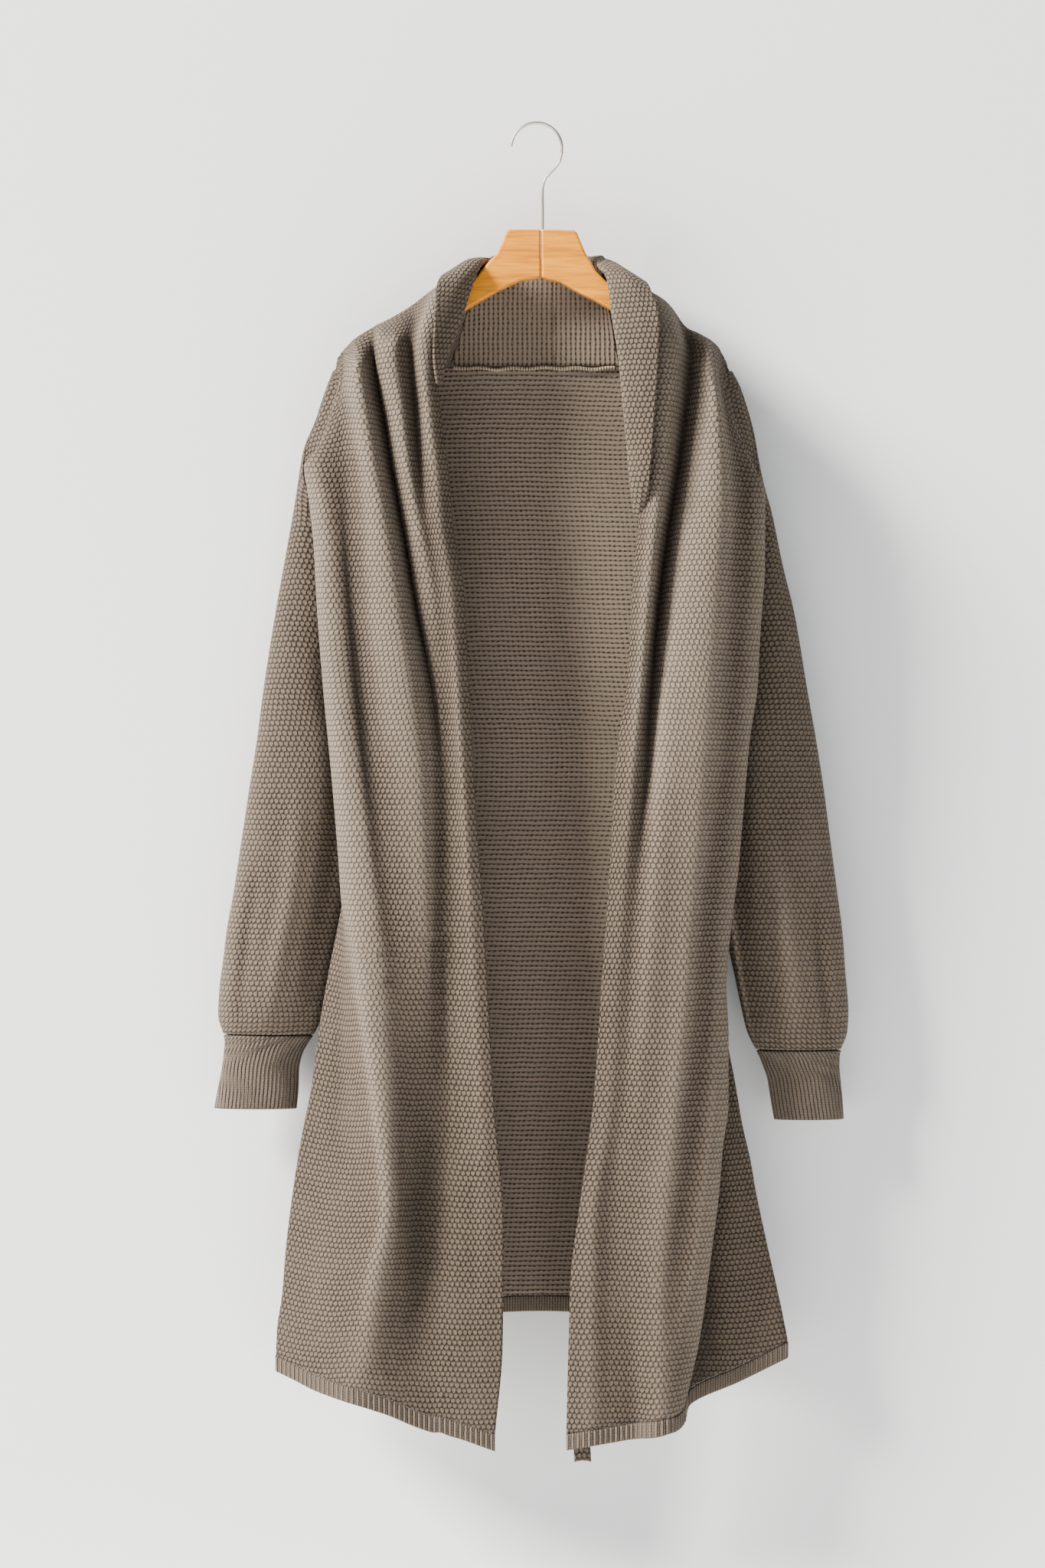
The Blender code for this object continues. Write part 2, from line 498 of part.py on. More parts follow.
def add_cuff(name, table, material, collection):
    """A rib cuff: a tube of the table's rings."""
    rings = []
    ribs = None
    for row in table:
        z, section = row[0], row[1:]
        angles = np.linspace(0.0, 2 * math.pi, 97)[:-1]
        ring = np.array([(*ring_point(section, angle), z) for angle in angles])
        if ribs is None:
            around = np.sum(np.linalg.norm(ring - np.roll(ring, 1, axis=0), axis=1))
            ribs = int(round(around / CUFF_RIB_PITCH / 1.25))
        path = evenly(ring, 1.0, closed=True)
        places = np.linspace(0, len(path), 2 * ribs + 1)[:-1].astype(int)
        rings.append(path[places])
    outer, inner = [], []
    for path in rings:
        centre = path.mean(axis=0)
        normals = path_normals(path, True, path - centre)
        raise_by = np.where(np.arange(len(path)) % 2 == 1, CUFF_RIB_RAISE, 0.0)[:, None]
        outer.append(path + normals * (CLOTH / 2 + raise_by))
        inner.append(path - normals * CLOTH / 2)
    return add_band(name, np.array(outer), np.array(inner), material, collection, closed=True)


BOARD_HALF_DEPTH = 6.0
BOARD_EDGE = 2.0
BOARD_JOINT_X = 4.2
WIRE_RADIUS = 1.4
BOARD_TOP_Z = -97.5
STEM_X = 5.6

# Half outlines of the wooden board from its joint: x, z.
LEFT_BOARD = ((BOARD_JOINT_X, BOARD_TOP_Z), (-25, BOARD_TOP_Z), (-28, -99.5), (-37, -120), (-43, -126),
              (-55, -141), (-62, -148), (-108, -178), (-150, -202.5), (-157, -208), (-160, -214),
              (-157, -220), (-150, -223), (-104, -195), (-59, -168), (-33, -153), (-14, -144.5),
              (BOARD_JOINT_X, -142))
RIGHT_BOARD = ((BOARD_JOINT_X, BOARD_TOP_Z), (34, BOARD_TOP_Z - 0.7), (37, -100), (45.5, -120),
               (48, -124), (55, -136), (65, -146), (110, -180), (148, -210), (155, -215), (158, -221),
               (155, -227), (148, -230), (106, -198), (71, -173), (55, -164), (39, -156), (22, -146.5),
               (BOARD_JOINT_X, -142))


def add_board(name, outline, inward, material, collection):
    """Half of the wooden hanger: its outline as a flat board with rounded edges."""
    points = [(x + (inward * 0.15 if x == BOARD_JOINT_X else 0.0), z) for x, z in outline]
    count = len(points)
    corners = [(x * MM, depth * MM, z * MM) for depth in (-BOARD_HALF_DEPTH, BOARD_HALF_DEPTH)
               for x, z in points]
    faces = [tuple(range(count)), tuple(range(2 * count - 1, count - 1, -1))]
    faces += [(i, i + count, (i + 1) % count + count, (i + 1) % count) for i in range(count)]
    if inward > 0:
        faces = [face[::-1] for face in faces]
    mesh = bpy.data.meshes.new(name)
    mesh.from_pydata(corners, [], faces)
    board = add_object(name, mesh, material, collection)
    bevel = board.modifiers.new("rounded_edges", "BEVEL")
    bevel.width = BOARD_EDGE * MM
    bevel.segments = 2
    bevel.limit_method = "ANGLE"
    bevel.angle_limit = math.radians(60.0)
    return board


# The hook's wire from its free end round the bend and down the stem: x, z.
HOOK_RADIUS = 23.5
HOOK_CENTRE_Z = WIRE_RADIUS - HOOK_RADIUS
HOOK_NECK = ((21.5, -34), (15, -42.5), (8.5, -49.5), (STEM_X, -59), (STEM_X, -75))


def add_wire(name, points, radius, steps, material, collection):
    """A round wire along a smooth curve through points."""
    route = spline(points, steps) if steps > 1 else np.array(points, dtype=float)
    curve = bpy.data.curves.new(name, "CURVE")
    curve.dimensions = "3D"
    curve.bevel_depth = radius * MM
    curve.bevel_resolution = 2
    curve.use_fill_caps = True
    line = curve.splines.new("POLY")
    line.points.add(len(route) - 1)
    for point, place in zip(line.points, route):
        point.co = (*(place * MM), 1.0)
    curve.materials.append(material)
    wire = bpy.data.objects.new(name, curve)
    collection.objects.link(wire)
    return wire


def hook_points():
    """The hook's centre line: most of a circle, then an easy bend into the stem."""
    bend = [(HOOK_RADIUS * math.cos(math.radians(turn)), 0.0,
             HOOK_CENTRE_Z + HOOK_RADIUS * math.sin(math.radians(turn)))
            for turn in range(176, -11, -17)]
    neck = [(x, 0.0, z) for x, z in HOOK_NECK]
    return bend + neck + [(STEM_X, 0.0, BOARD_TOP_Z + 0.35)]


def main():
    """Build every piece of the cardigan and its hanger."""
    for old in list(bpy.data.objects):
        bpy.data.objects.remove(old)
    collection = bpy.data.collections.new(COLLECTION_NAME)
    bpy.context.scene.collection.children.link(collection)
    knit = make_material("taupe_knit", (0.235, 0.18, 0.14), 0.95)
    rib = make_material("taupe_rib", (0.20, 0.155, 0.12), 0.95)
    wood = make_material("honey_wood", (0.66, 0.36, 0.13), 0.45)
    metal = make_material("pale_steel", (0.72, 0.69, 0.63), 0.3, 1.0)

    sides = (("left", LEFT_FRONT, LEFT_SLEEVE, LEFT_COLLAR, LEFT_CUFF, NECK_LEFT_X),
             ("right", RIGHT_FRONT, RIGHT_SLEEVE, RIGHT_COLLAR, RIGHT_CUFF, NECK_RIGHT_X))
    for side, front, sleeve, collar, cuff, neck_x in sides:
        panel = front_grid(front, sleeve, neck_x, 2)
        add_sheet(f"front_{side}", panel, knit, collection, flipped=side == "left")
        add_hem_band(f"hem_band_front_{side}", panel[-1], (0.0, -1.0, 0.0), rib, collection)
        add_sheet(f"sleeve_{side}", sleeve_grid(sleeve, SLEEVE_COLUMNS[side]), knit, collection)
        add_cuff(f"cuff_{side}", cuff[::2] + cuff[-1:], rib, collection)
        add_sheet(f"collar_stand_{side}", stand_grid(collar, front, neck_x, 2), knit, collection)
        add_sheet(f"collar_fall_{side}", fall_grid(collar, 2), knit, collection)

    back = back_grid(BACK_SHARES, BACK_ROWS)
    add_sheet("back_panel", back, knit, collection)
    add_hem_band("hem_band_back", back[-1], (0.0, 1.0, 0.0), rib, collection)
    seam_y = yoke_seam(0.0)[0] - CLOTH / 2 - 0.35 - WIRE_RADIUS
    seam = [(x, seam_y, YOKE_Z - 1.0) for x in np.linspace(NECK_LEFT_X + 4, NECK_RIGHT_X - 4, 12)]
    add_wire("neck_seam", seam, WIRE_RADIUS, 1, rib, collection)
    add_board("hanger_left", LEFT_BOARD, -1.0, wood, collection)
    add_board("hanger_right", RIGHT_BOARD, 1.0, wood, collection)
    add_wire("hanger_hook", hook_points(), WIRE_RADIUS, 2, metal, collection)


if __name__ == "__main__":
    main()
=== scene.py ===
"""Open-front cardigan of loose taupe knit on a wooden hanger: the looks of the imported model.

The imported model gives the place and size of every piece. This script dresses it: each cloth panel
is made again as a fine shell with its knit, ribs and seams, and the wood and wire get their finish.
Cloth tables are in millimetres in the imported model's frame, with +Z up and +Y to the wall.
"""
import logging
import math
from dataclasses import dataclass, field
from enum import Enum
from typing import Any, Mapping, Sequence

import bpy
import numpy as np
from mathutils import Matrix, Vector


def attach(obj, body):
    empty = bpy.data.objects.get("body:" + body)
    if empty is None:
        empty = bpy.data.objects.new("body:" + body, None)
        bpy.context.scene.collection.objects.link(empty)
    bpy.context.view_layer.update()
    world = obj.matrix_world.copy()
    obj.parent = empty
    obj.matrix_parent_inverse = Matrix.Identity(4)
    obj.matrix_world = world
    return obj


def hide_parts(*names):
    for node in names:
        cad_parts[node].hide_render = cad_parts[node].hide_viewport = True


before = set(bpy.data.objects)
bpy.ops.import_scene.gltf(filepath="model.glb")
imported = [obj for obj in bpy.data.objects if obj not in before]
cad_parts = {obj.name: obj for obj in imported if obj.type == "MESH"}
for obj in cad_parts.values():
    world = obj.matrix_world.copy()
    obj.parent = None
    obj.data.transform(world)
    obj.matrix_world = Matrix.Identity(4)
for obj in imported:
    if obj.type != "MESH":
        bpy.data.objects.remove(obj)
log = logging.getLogger("cardigan")

MM = 0.001
CLOTH = 3.0
SEAM = 0.02

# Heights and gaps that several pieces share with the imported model.
YOKE_Z = -221.0
NECK_LEFT_X = -80.0
NECK_RIGHT_X = 77.0
YOKE_LEFT_X = -185.0
YOKE_RIGHT_X = 180.0
BACK_Y = 26.0
UNDERARM_Z = -563.0
ARMHOLE_GAP = 0.5
COLLAR_GAP = 0.2
SLEEVE_SEAM = 0.05
SIDE_GAP = 0.1
HEM_BAND = 15.0
BACK_HEM_Z = -1083.0

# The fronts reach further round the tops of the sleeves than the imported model's, between these heights.
WRAP_TOP_Z = -219.0
WRAP_END_Z = -372.0
WRAP_TURN = 72.0

# The turned-under end of the right front's edge, below its hem band.
TIP_INNER_X = 33.0
TIP_MIDDLE_X = 41.0
TIP_OUTER_X = 48.5
TIP_Y = -30.8
TIP_Z = -1203.0
TIP_LENGTH = 24.0
TIP_WALL = 2.4
TIP_STEPS = 14

# The collar fall's stitches are level at this height.
FALL_LEVEL_Z = -200.0

# Points of the grids: rows over the shoulder, pieces of a crease, and how far the painted shade and light
# of a fold is eased.
ARCH_ROWS = 15
CREASE_PIECES = 25
FOLD_SHADING_EASING = 70
FOLD_SHADING_REACH = 6.0

# The knit: one tuck stitch is this wide and this tall; the rib bands are finer.
STITCH_WIDE = 4.75
STITCH_TALL = 4.85
HEM_RIB = 5.0
CUFF_RIB = 3.5

# Each rail is a table of z, x, y from the shoulder ridge down to the rib band.
LEFT_FRONT = {
    "edge": ((-135.6, -53.2, 0), (-147, -63, -16), (-176, -73, -27), (-199, -81, -31), (-220, -89, -33),
             (-238, -92, -34), (-250, -90, -35), (-276, -87, -36), (-328, -80, -38), (-376, -76, -39),
             (-426, -67, -40), (-493, -63, -40), (-650, -54, -40), (-731, -48, -40), (-895, -39, -40),
             (-1011, -30, -38), (-1120, -31, -36), (-1203, -38, -34)),
    "roll": ((-149, -88, 0), (-162, -94, -22), (-206, -104, -41), (-274, -99, -45), (-328, -92, -47),
             (-376, -87, -47), (-426, -79, -47), (-493, -74, -46), (-560, -70, -45), (-731, -60, -43),
             (-895, -51, -41), (-1011, -46, -38), (-1198, -52, -34)),
    "roll_groove": ((-168, -114, 0), (-184, -114, -14), (-206, -115, -24), (-274, -111, -27),
                    (-300, -109, -31), (-340, -104, -40), (-376, -98, -44), (-426, -89, -45),
                    (-493, -82, -43), (-560, -76, -41), (-731, -68, -40), (-895, -60, -38),
                    (-1011, -58, -35), (-1193, -66, -33)),
    "second_fold": ((-179, -132, 0), (-194, -131, -24), (-208, -131, -38), (-274, -123, -45),
                    (-315, -118, -46), (-376, -108, -46), (-426, -98, -45), (-493, -89, -41),
                    (-560, -82, -38), (-731, -78, -38), (-895, -70, -36), (-1011, -72, -33),
                    (-1189, -80, -32)),
    "second_flank": ((-186, -146, 0), (-199, -145, -24), (-232, -141, -36), (-274, -134, -36),
                     (-315, -128, -36), (-381, -116, -36), (-451, -104, -36), (-493, -96, -36),
                     (-538, -89, -36), (-600, -85, -36), (-731, -84, -38), (-895, -76, -36),
                     (-1011, -80, -32), (-1186, -88, -32)),
    "deep_groove": ((-189, -151, 0), (-202, -150, -9), (-232, -147, -14), (-274, -139.5, -13),
                    (-315, -133, -12), (-381, -121, -12), (-451, -109, -14), (-493, -101, -20),
                    (-538, -94, -28), (-600, -90, -35), (-731, -90, -37), (-895, -83, -36),
                    (-1011, -88, -32), (-1186, -95, -32)),
    "main_crest": ((-199, -167, 0), (-213, -166, -24), (-232, -163, -42), (-315, -149, -48),
                   (-381, -137, -49), (-451, -126, -49), (-521, -116, -48), (-591, -109, -47),
                   (-731, -100, -45), (-895, -96, -41), (-1011, -104, -36), (-1180, -112, -35)),
    "trough": ((-205, -173, 0), (-218, -175, -16), (-250, -176, -24), (-300, -176, -26),
               (-360, -175, -27), (-451, -170, -28), (-550, -162, -30), (-660, -148, -36),
               (-731, -140, -40), (-895, -124, -46), (-1011, -122, -46), (-1170, -134, -40)),
    "outer_crest": ((-208, -176, 0), (-232, -176.5, -17), (-274, -184, -20), (-300, -193, -21),
                    (-317, -202, -23), (-345, -198, -28), (-390, -194, -30), (-451, -190, -32),
                    (-521, -184, -34), (-612, -175, -36), (-711, -167, -40), (-790, -157, -46),
                    (-876, -145, -51), (-990, -134, -54), (-1060, -146, -50), (-1161, -160, -42)),
    "outer_edge": ((-211, -178.5, 0), (-232, -179, -14), (-274, -188, -17), (-300, -199, -17),
                   (-317, -212, -14), (-345, -208, -15), (-390, -203, -16), (-451, -199.5, -17),
                   (-521, -194, -18), (-612, -185.5, -19), (-673, -180.6, -20), (-711, -178, -22),
                   (-743, -174, -26), (-790, -169, -31), (-876, -158, -40), (-990, -147, -48),
                   (-1060, -160, -45), (-1157, -175, -38)),
    "behind": ((-214, -180.2, 0), (-232, -180.6, -11), (-274, -191, -12.5), (-300, -199, -11),
               (-317, -205, -8), (-345, -198, -5), (-390, -189, -5), (-451, -181, -4), (-521, -173, -3),
               (-612, -167, -6), (-673, -169, -8), (-711, -171, -10), (-743, -176, -12),
               (-829, -179, -12), (-915, -180, -16), (-990, -184, -24), (-1060, -196, -26),
               (-1149, -204, -22)),
    "side": ((-217, -182.5, 0), (-232, -185, -3), (-274, -198, -3), (-300, -204, -1), (-317, -203, 1),
             (-345, -196, 1), (-390, -189, 1), (-451, -186, 2), (-521, -180, 3), (-575, -168, 21),
             (-612, -164, 16), (-650, -164, 11), (-673, -168, 8), (-711, -177, 5), (-743, -183, 3),
             (-775, -190, 3),
             (-813, -197, 3), (-853, -203, 3), (-892, -208, 3), (-919, -213.5, 2), (-967, -222, 2),
             (-1038, -231, 1), (-1081, -234.5, 1), (-1111, -239, 1), (-1135, -240, 1)),
}

RIGHT_FRONT = {
    "edge": ((-138, 62, 0), (-147, 71, -16), (-176, 75, -27), (-217, 81, -33), (-281, 87, -36),
             (-333, 91.5, -38), (-372, 93, -39), (-398, 90, -39), (-436, 87, -40), (-515, 83, -40),
             (-558, 76, -40), (-608, 71, -40), (-680, 67, -40), (-787, 59.5, -40), (-895, 52, -39),
             (-988, 40, -38), (-1054, 31.5, -37), (-1115, 29, -36), (-1202, 27, -34)),
    "roll": ((-163, 117, 0), (-178, 121, -20), (-200, 123, -38), (-232, 123, -44), (-281, 119, -46),
             (-340, 113, -48), (-390, 107, -48), (-443, 102, -48), (-521, 95, -47), (-591, 88, -46),
             (-680, 80, -45), (-895, 66, -43), (-1011, 50, -42), (-1198, 48, -38)),
    "roll_groove": ((-188, 137, 0), (-203, 139, -9), (-217, 141, -13), (-260, 137, -12),
                    (-311, 131, -10), (-395, 118, -10), (-443, 112, -13), (-493, 107, -18),
                    (-550, 103, -26), (-591, 101, -32), (-640, 97, -38), (-731, 90, -42),
                    (-895, 80, -41), (-1011, 66, -38), (-1195, 69, -34)),
    "slope": ((-194, 149, 0), (-208, 151, -18), (-232, 151, -29), (-311, 143, -34), (-395, 131, -38),
              (-493, 122, -42), (-591, 117, -45), (-731, 108, -46), (-895, 96, -44),
              (-1011, 85, -40), (-1192, 89, -32)),
    "main_crest": ((-201, 161, 0), (-214, 159.5, -26), (-250, 162.5, -40), (-281, 165, -45),
                   (-346, 166, -49), (-420, 160, -51), (-591, 148, -52), (-731, 139, -52),
                   (-857, 130, -52), (-950, 122, -50), (-1060, 113, -45), (-1189, 109, -42)),
    "trough": ((-207, 167, 0), (-222, 166.5, -14), (-240, 167, -20), (-281, 174.5, -25),
               (-346, 187, -30), (-420, 184, -36),
               (-521, 178, -38), (-638, 166, -42), (-741, 155, -44), (-836, 150, -44),
               (-939, 142, -43), (-1060, 131, -40), (-1186, 121, -40)),
    "outer_crest": ((-211, 169, 0), (-240, 169, -17), (-283, 178.5, -21), (-314, 189, -23),
                    (-344, 199, -26), (-405, 200, -29), (-465, 196, -31), (-521, 193, -31),
                    (-561, 187, -32), (-638, 179, -34), (-741, 168, -36), (-836, 165, -36),
                    (-900, 164, -36), (-982, 156, -36), (-1077, 143, -35), (-1185, 127, -33)),
    "outer_edge": ((-214, 170.8, 0), (-240, 171.3, -14), (-283, 181.5, -18), (-314, 196, -18),
                   (-344, 208.5, -15), (-405, 208, -16), (-465, 204, -17), (-521, 201, -17),
                   (-561, 195, -18), (-638, 188, -19), (-685, 184, -20), (-741, 177, -20),
                   (-796, 173, -20), (-836, 175, -20), (-900, 175, -20), (-939, 170, -20),
                   (-982, 166.6, -20), (-1039, 159.6, -20), (-1077, 154.7, -20), (-1123, 147, -20),
                   (-1180, 134, -20)),
    "behind": ((-217.5, 172.4, 0), (-240, 173.8, -11), (-283, 184.3, -14), (-314, 194, -12),
               (-344, 198.5, -7), (-375, 193, -6), (-405, 188, -5), (-465, 184, -5), (-521, 176, -4),
               (-638, 168, -6), (-741, 164, -6),
               (-836, 161, -6), (-900, 159, -6), (-982, 151, -6), (-1077, 144, -5), (-1166, 140, -4)),
    "side": ((-221, 174, 0), (-240, 178, -7), (-283, 193, -2), (-314, 198, -1), (-344, 199, 1),
             (-405, 193, 2), (-465, 189, 2), (-521, 184, 3), (-575, 168, 20), (-612, 164, 15),
             (-650, 163, 10), (-700, 164, 6), (-741, 167, 4), (-800, 170, 4), (-848, 176, 4),
             (-885, 183, 4), (-925, 190, 4),
             (-955, 197, 4), (-983.5, 202, 4), (-1039.5, 214, 4), (-1070, 221, 4), (-1100, 227.5, 4),
             (-1123, 232, 4)),
}

# Each collar row is the roll at a station: where it leaves the cloth, its turn, middle and free edge.
LEFT_COLLAR = (
    ((16, 28, -126), (16, 32, -121), (16, 38, -146), (16, 39, -172)),
    ((-12, 26, -125.5), (-13, 30, -120.5), (-16, 37, -145), (-20, 38, -171)),
    ((-36, 18, -125), (-38, 21, -119.5), (-50, 31, -142), (-64, 33, -168)),
    ((-44.5, 11, -129), (-42, 12, -123), (-57, 20, -128), (-77, 23, -149)),
    ((-52, 0.5, -131.3), (-49.5, 0, -126), (-62, 0, -125.5), (-81, 0, -139)),
    ((-60.5, -14, -145), (-56.5, -18.5, -141.5), (-69, -31, -144), (-91, -37, -152)),
    ((-70.8, -26, -176), (-67.5, -30.5, -176), (-78, -40, -176), (-93, -47, -177)),
    ((-78.8, -30, -199), (-75.5, -34.5, -199), (-84, -43, -199), (-94, -49, -200)),
    ((-85.8, -31.4, -220), (-83.2, -36.5, -220), (-88, -43, -221), (-94, -49, -222)),
    ((-88, -30, -242), (-87.5, -34, -243), (-89, -38, -243), (-91, -41, -244)),
)

RIGHT_COLLAR = (
    ((16, 28, -126), (16, 32, -121), (16, 38, -146), (16, 39, -172)),
    ((40, 26, -125), (42, 30, -120), (46, 37, -144), (50, 38, -170)),
    ((57, 18, -125), (60, 21, -119.5), (73, 31, -141), (86, 33, -166)),
    ((57, 11, -129.5), (55.5, 12, -122.5), (72, 20, -127), (94, 23, -151)),
    ((59.7, 0, -134.5), (56.6, 0, -129.3), (74, 0, -130.5), (98, 0, -146)),
    ((68.5, -14, -145), (64.5, -18.5, -141.5), (81, -33, -146), (104, -40, -158)),
    ((72.8, -26.2, -176), (69.5, -30.5, -176), (89, -44, -177), (111, -52, -179)),
    ((78.8, -32, -217), (75.5, -36.5, -217), (93, -48, -217), (111, -53, -217)),
    ((84.8, -35, -281), (81.5, -39.5, -281), (94, -49, -281), (107, -54, -281)),
    ((89.3, -37, -333), (86, -41.5, -333), (94, -51, -333), (103, -55, -331)),
    ((90.2, -36, -350), (88.5, -40, -350), (94.5, -46, -351), (101.5, -48, -348)),
    ((91, -34, -364), (90.5, -36, -364), (93, -38, -365), (96, -38, -364)),
)

# Each sleeve row is z, inner x, outer x, centre y, half depth, and the half angle left open.
LEFT_SLEEVE = (
    (-227, -182, -186, 1, 6, 80), (-238, -184, -190.5, 1.5, 8.5, 79), (-250, -186, -195, 2, 10, 78),
    (-274, -191, -203, 4, 11, 76),
    (-300, -197, -214, 9, 11, 70), (-320, -197, -218, 14, 12, 64), (-345, -194, -222, 18, 14, 56),
    (-390, -187, -230, 21, 17, 46), (-451, -184, -241, 23, 19, 34), (-521, -180, -252, 24, 21, 16),
    (-567, -173, -258, 24, 22, 0), (-612, -170, -265, 24, 23, 0), (-658, -172, -272, 24, 24, 0),
    (-711, -178, -280, 24, 25, 0), (-744, -184, -286, 24, 26, 0), (-769, -189, -289, 24, 26, 0),
    (-800, -194, -293, 24, 26, 0), (-822, -199, -294, 24, 24, 0), (-840, -208, -289, 24, 19, 0),
)

RIGHT_SLEEVE = (
    (-228, 172.5, 179, 1, 6, 80), (-236, 173, 183.5, 1.5, 8, 79), (-245, 174, 187.5, 2, 10, 78),
    (-283, 184, 199, 4, 11, 76),
    (-314, 188, 205, 9, 11, 70), (-335, 193, 210, 14, 12, 64), (-355, 196, 216, 18, 13, 56),
    (-406, 190, 227, 21, 17, 46), (-451, 187, 238, 23, 19, 34), (-525, 183, 250.6, 24, 21, 16),
    (-567, 176, 258, 24, 22, 0), (-612, 175, 265, 24, 23, 0), (-658, 174, 271, 24, 24, 0),
    (-700, 174, 276.5, 24, 25, 0), (-751, 178, 283, 24, 26, 0), (-780, 184, 285, 24, 26, 0),
    (-820, 192.5, 288, 24, 25, 0), (-838, 197, 287, 24, 23, 0), (-854, 205, 281, 24, 19, 0),
)

# Each cuff row is z, inner x, outer x, centre y and half depth.
LEFT_CUFF = ((-840.8, -209, -288, 24, 18), (-848, -214, -287, 24, 16), (-858, -219, -288, 24, 15),
             (-872, -222, -290, 24, 14), (-892, -222.6, -294, 24, 14), (-909, -224, -297.5, 24, 14))
RIGHT_CUFF = ((-854.8, 206, 280.5, 24, 18), (-861, 209, 279, 24, 16), (-869, 212, 279, 24, 15),
              (-881, 216, 280, 24, 14), (-900, 219, 282, 24, 14), (-919, 222, 283.5, 24, 14))


def smooth(table: Sequence[Sequence[float]], z: float) -> np.ndarray:
    """Read a table at a height, on a curve that never overshoots its rows.

    Args:
        table: Rows of z and any other columns, from the top down.
        z: The height to read at.

    Returns:
        The other columns at that height.
    """
    rows = np.array(table, dtype=float)
    heights = -rows[:, 0]
    values = rows[:, 1:]
    gaps = np.diff(heights)
    slopes = np.diff(values, axis=0) / gaps[:, None]
    tangents = np.zeros_like(values)
    tangents[0] = slopes[0]
    tangents[-1] = slopes[-1]
    before, after = slopes[:-1], slopes[1:]
    same_way = before * after > 0.0
    tangents[1:-1][same_way] = 2.0 * before[same_way] * after[same_way] / (before + after)[same_way]
    depth = min(max(-z, heights[0]), heights[-1])
    row = min(max(int(np.searchsorted(heights, depth)) - 1, 0), len(gaps) - 1)
    t = (depth - heights[row]) / gaps[row]
    start, end = values[row], values[row + 1]
    pull_start, pull_end = tangents[row] * gaps[row], tangents[row + 1] * gaps[row]
    return (start * (2 * t**3 - 3 * t**2 + 1) + pull_start * (t**3 - 2 * t**2 + t)
            + end * (3 * t**2 - 2 * t**3) + pull_end * (t**3 - t**2))


def spline(points: Sequence[Sequence[float]], steps: int) -> np.ndarray:
    """Points of a centripetal Catmull-Rom curve.

    Args:
        points: The points that the curve passes through.
        steps: How many pieces each gap is cut into.

    Returns:
        The curve's points, one a row.
    """
    guide = np.array(points, dtype=float)
    guide = np.vstack((2 * guide[0] - guide[1], guide, 2 * guide[-1] - guide[-2]))
    shares = np.arange(steps) / steps
    curve = []
    for gap in range(len(guide) - 3):
        p0, p1, p2, p3 = guide[gap:gap + 4]
        knots = np.cumsum([0.0] + [max(float(np.linalg.norm(b - a)), 1e-6) ** 0.5
                                   for a, b in ((p0, p1), (p1, p2), (p2, p3))])
        t = (knots[1] + (knots[2] - knots[1]) * shares)[:, None]
        a1 = (p0 * (knots[1] - t) + p1 * (t - knots[0])) / (knots[1] - knots[0])
        a2 = (p1 * (knots[2] - t) + p2 * (t - knots[1])) / (knots[2] - knots[1])
        a3 = (p2 * (knots[3] - t) + p3 * (t - knots[2])) / (knots[3] - knots[2])
        b1 = (a1 * (knots[2] - t) + a2 * (t - knots[0])) / (knots[2] - knots[0])
        b2 = (a2 * (knots[3] - t) + a3 * (t - knots[1])) / (knots[3] - knots[1])
        curve.append((b1 * (knots[2] - t) + b2 * (t - knots[1])) / (knots[2] - knots[1]))
    curve.append(guide[-2:-1])
    return np.vstack(curve)


def arc(points: np.ndarray, axis: int) -> np.ndarray:
    """Distance along a grid's rows or columns, starting from zero.

    Args:
        points: A grid of points, rows by columns by three.
        axis: 0 to measure down the columns, 1 to measure along the rows.

    Returns:
        The distance at each point of the grid.
    """
    steps = np.linalg.norm(np.diff(points, axis=axis), axis=2)
    start = np.zeros_like(np.take(steps, [0], axis=axis))
    return np.cumsum(np.concatenate((start, steps), axis=axis), axis=axis)


def ring_point(section: Sequence[float], angle: float) -> np.ndarray:
    """A point of a sleeve's section; angle 0 faces the body and a quarter turn faces the front.

    Args:
        section: Inner x, outer x, centre y and half depth.
        angle: The angle, in radians.

    Returns:
        The point's x and y.
    """
    inner_x, outer_x, centre_y, half_depth = section[:4]
    centre_x = (inner_x + outer_x) / 2
    return np.array((centre_x + (inner_x - centre_x) * math.cos(angle),
                     centre_y - half_depth * math.sin(angle)))


def armhole_point(sleeve: Sequence[Sequence[float]], z: float, rear: bool) -> np.ndarray:
    """The body's edge at the armhole, a seam's width in from the sleeve's front or rear edge.

    Args:
        sleeve: The sleeve's table.
        z: The height to read at.
        rear: Whether to give the rear edge.

    Returns:
        The point's x and y.
    """
    section = smooth(sleeve, z)
    open_angle = math.radians(section[4])
    turn = -1.0 if rear else 1.0
    edge = ring_point(section, turn * open_angle)
    along = ring_point(section, turn * (open_angle - 0.05)) - edge
    along /= np.linalg.norm(along)
    to_body = np.array((1.0 if section[0] > section[1] else -1.0, 0.0))
    share = min(section[4] / 60.0, 1.0)
    edge = edge + (along * share + to_body * (1.0 - share)) * ARMHOLE_GAP
    least = (CLOTH + SIDE_GAP) / 2
    if (edge[1] - section[2]) * -turn < least:
        edge[1] = section[2] - turn * least
    return edge


def wrap_angle(z: float) -> float:
    """How much further the front reaches round the sleeve at a height, in radians."""
    start = min(max((WRAP_TOP_Z - z) / 30.0, 0.0), 1.0)
    end = min(max((z - WRAP_END_Z) / 60.0, 0.0), 1.0)
    share = min(start, end)
    return math.radians(WRAP_TURN) * share * share * (3.0 - 2.0 * share)


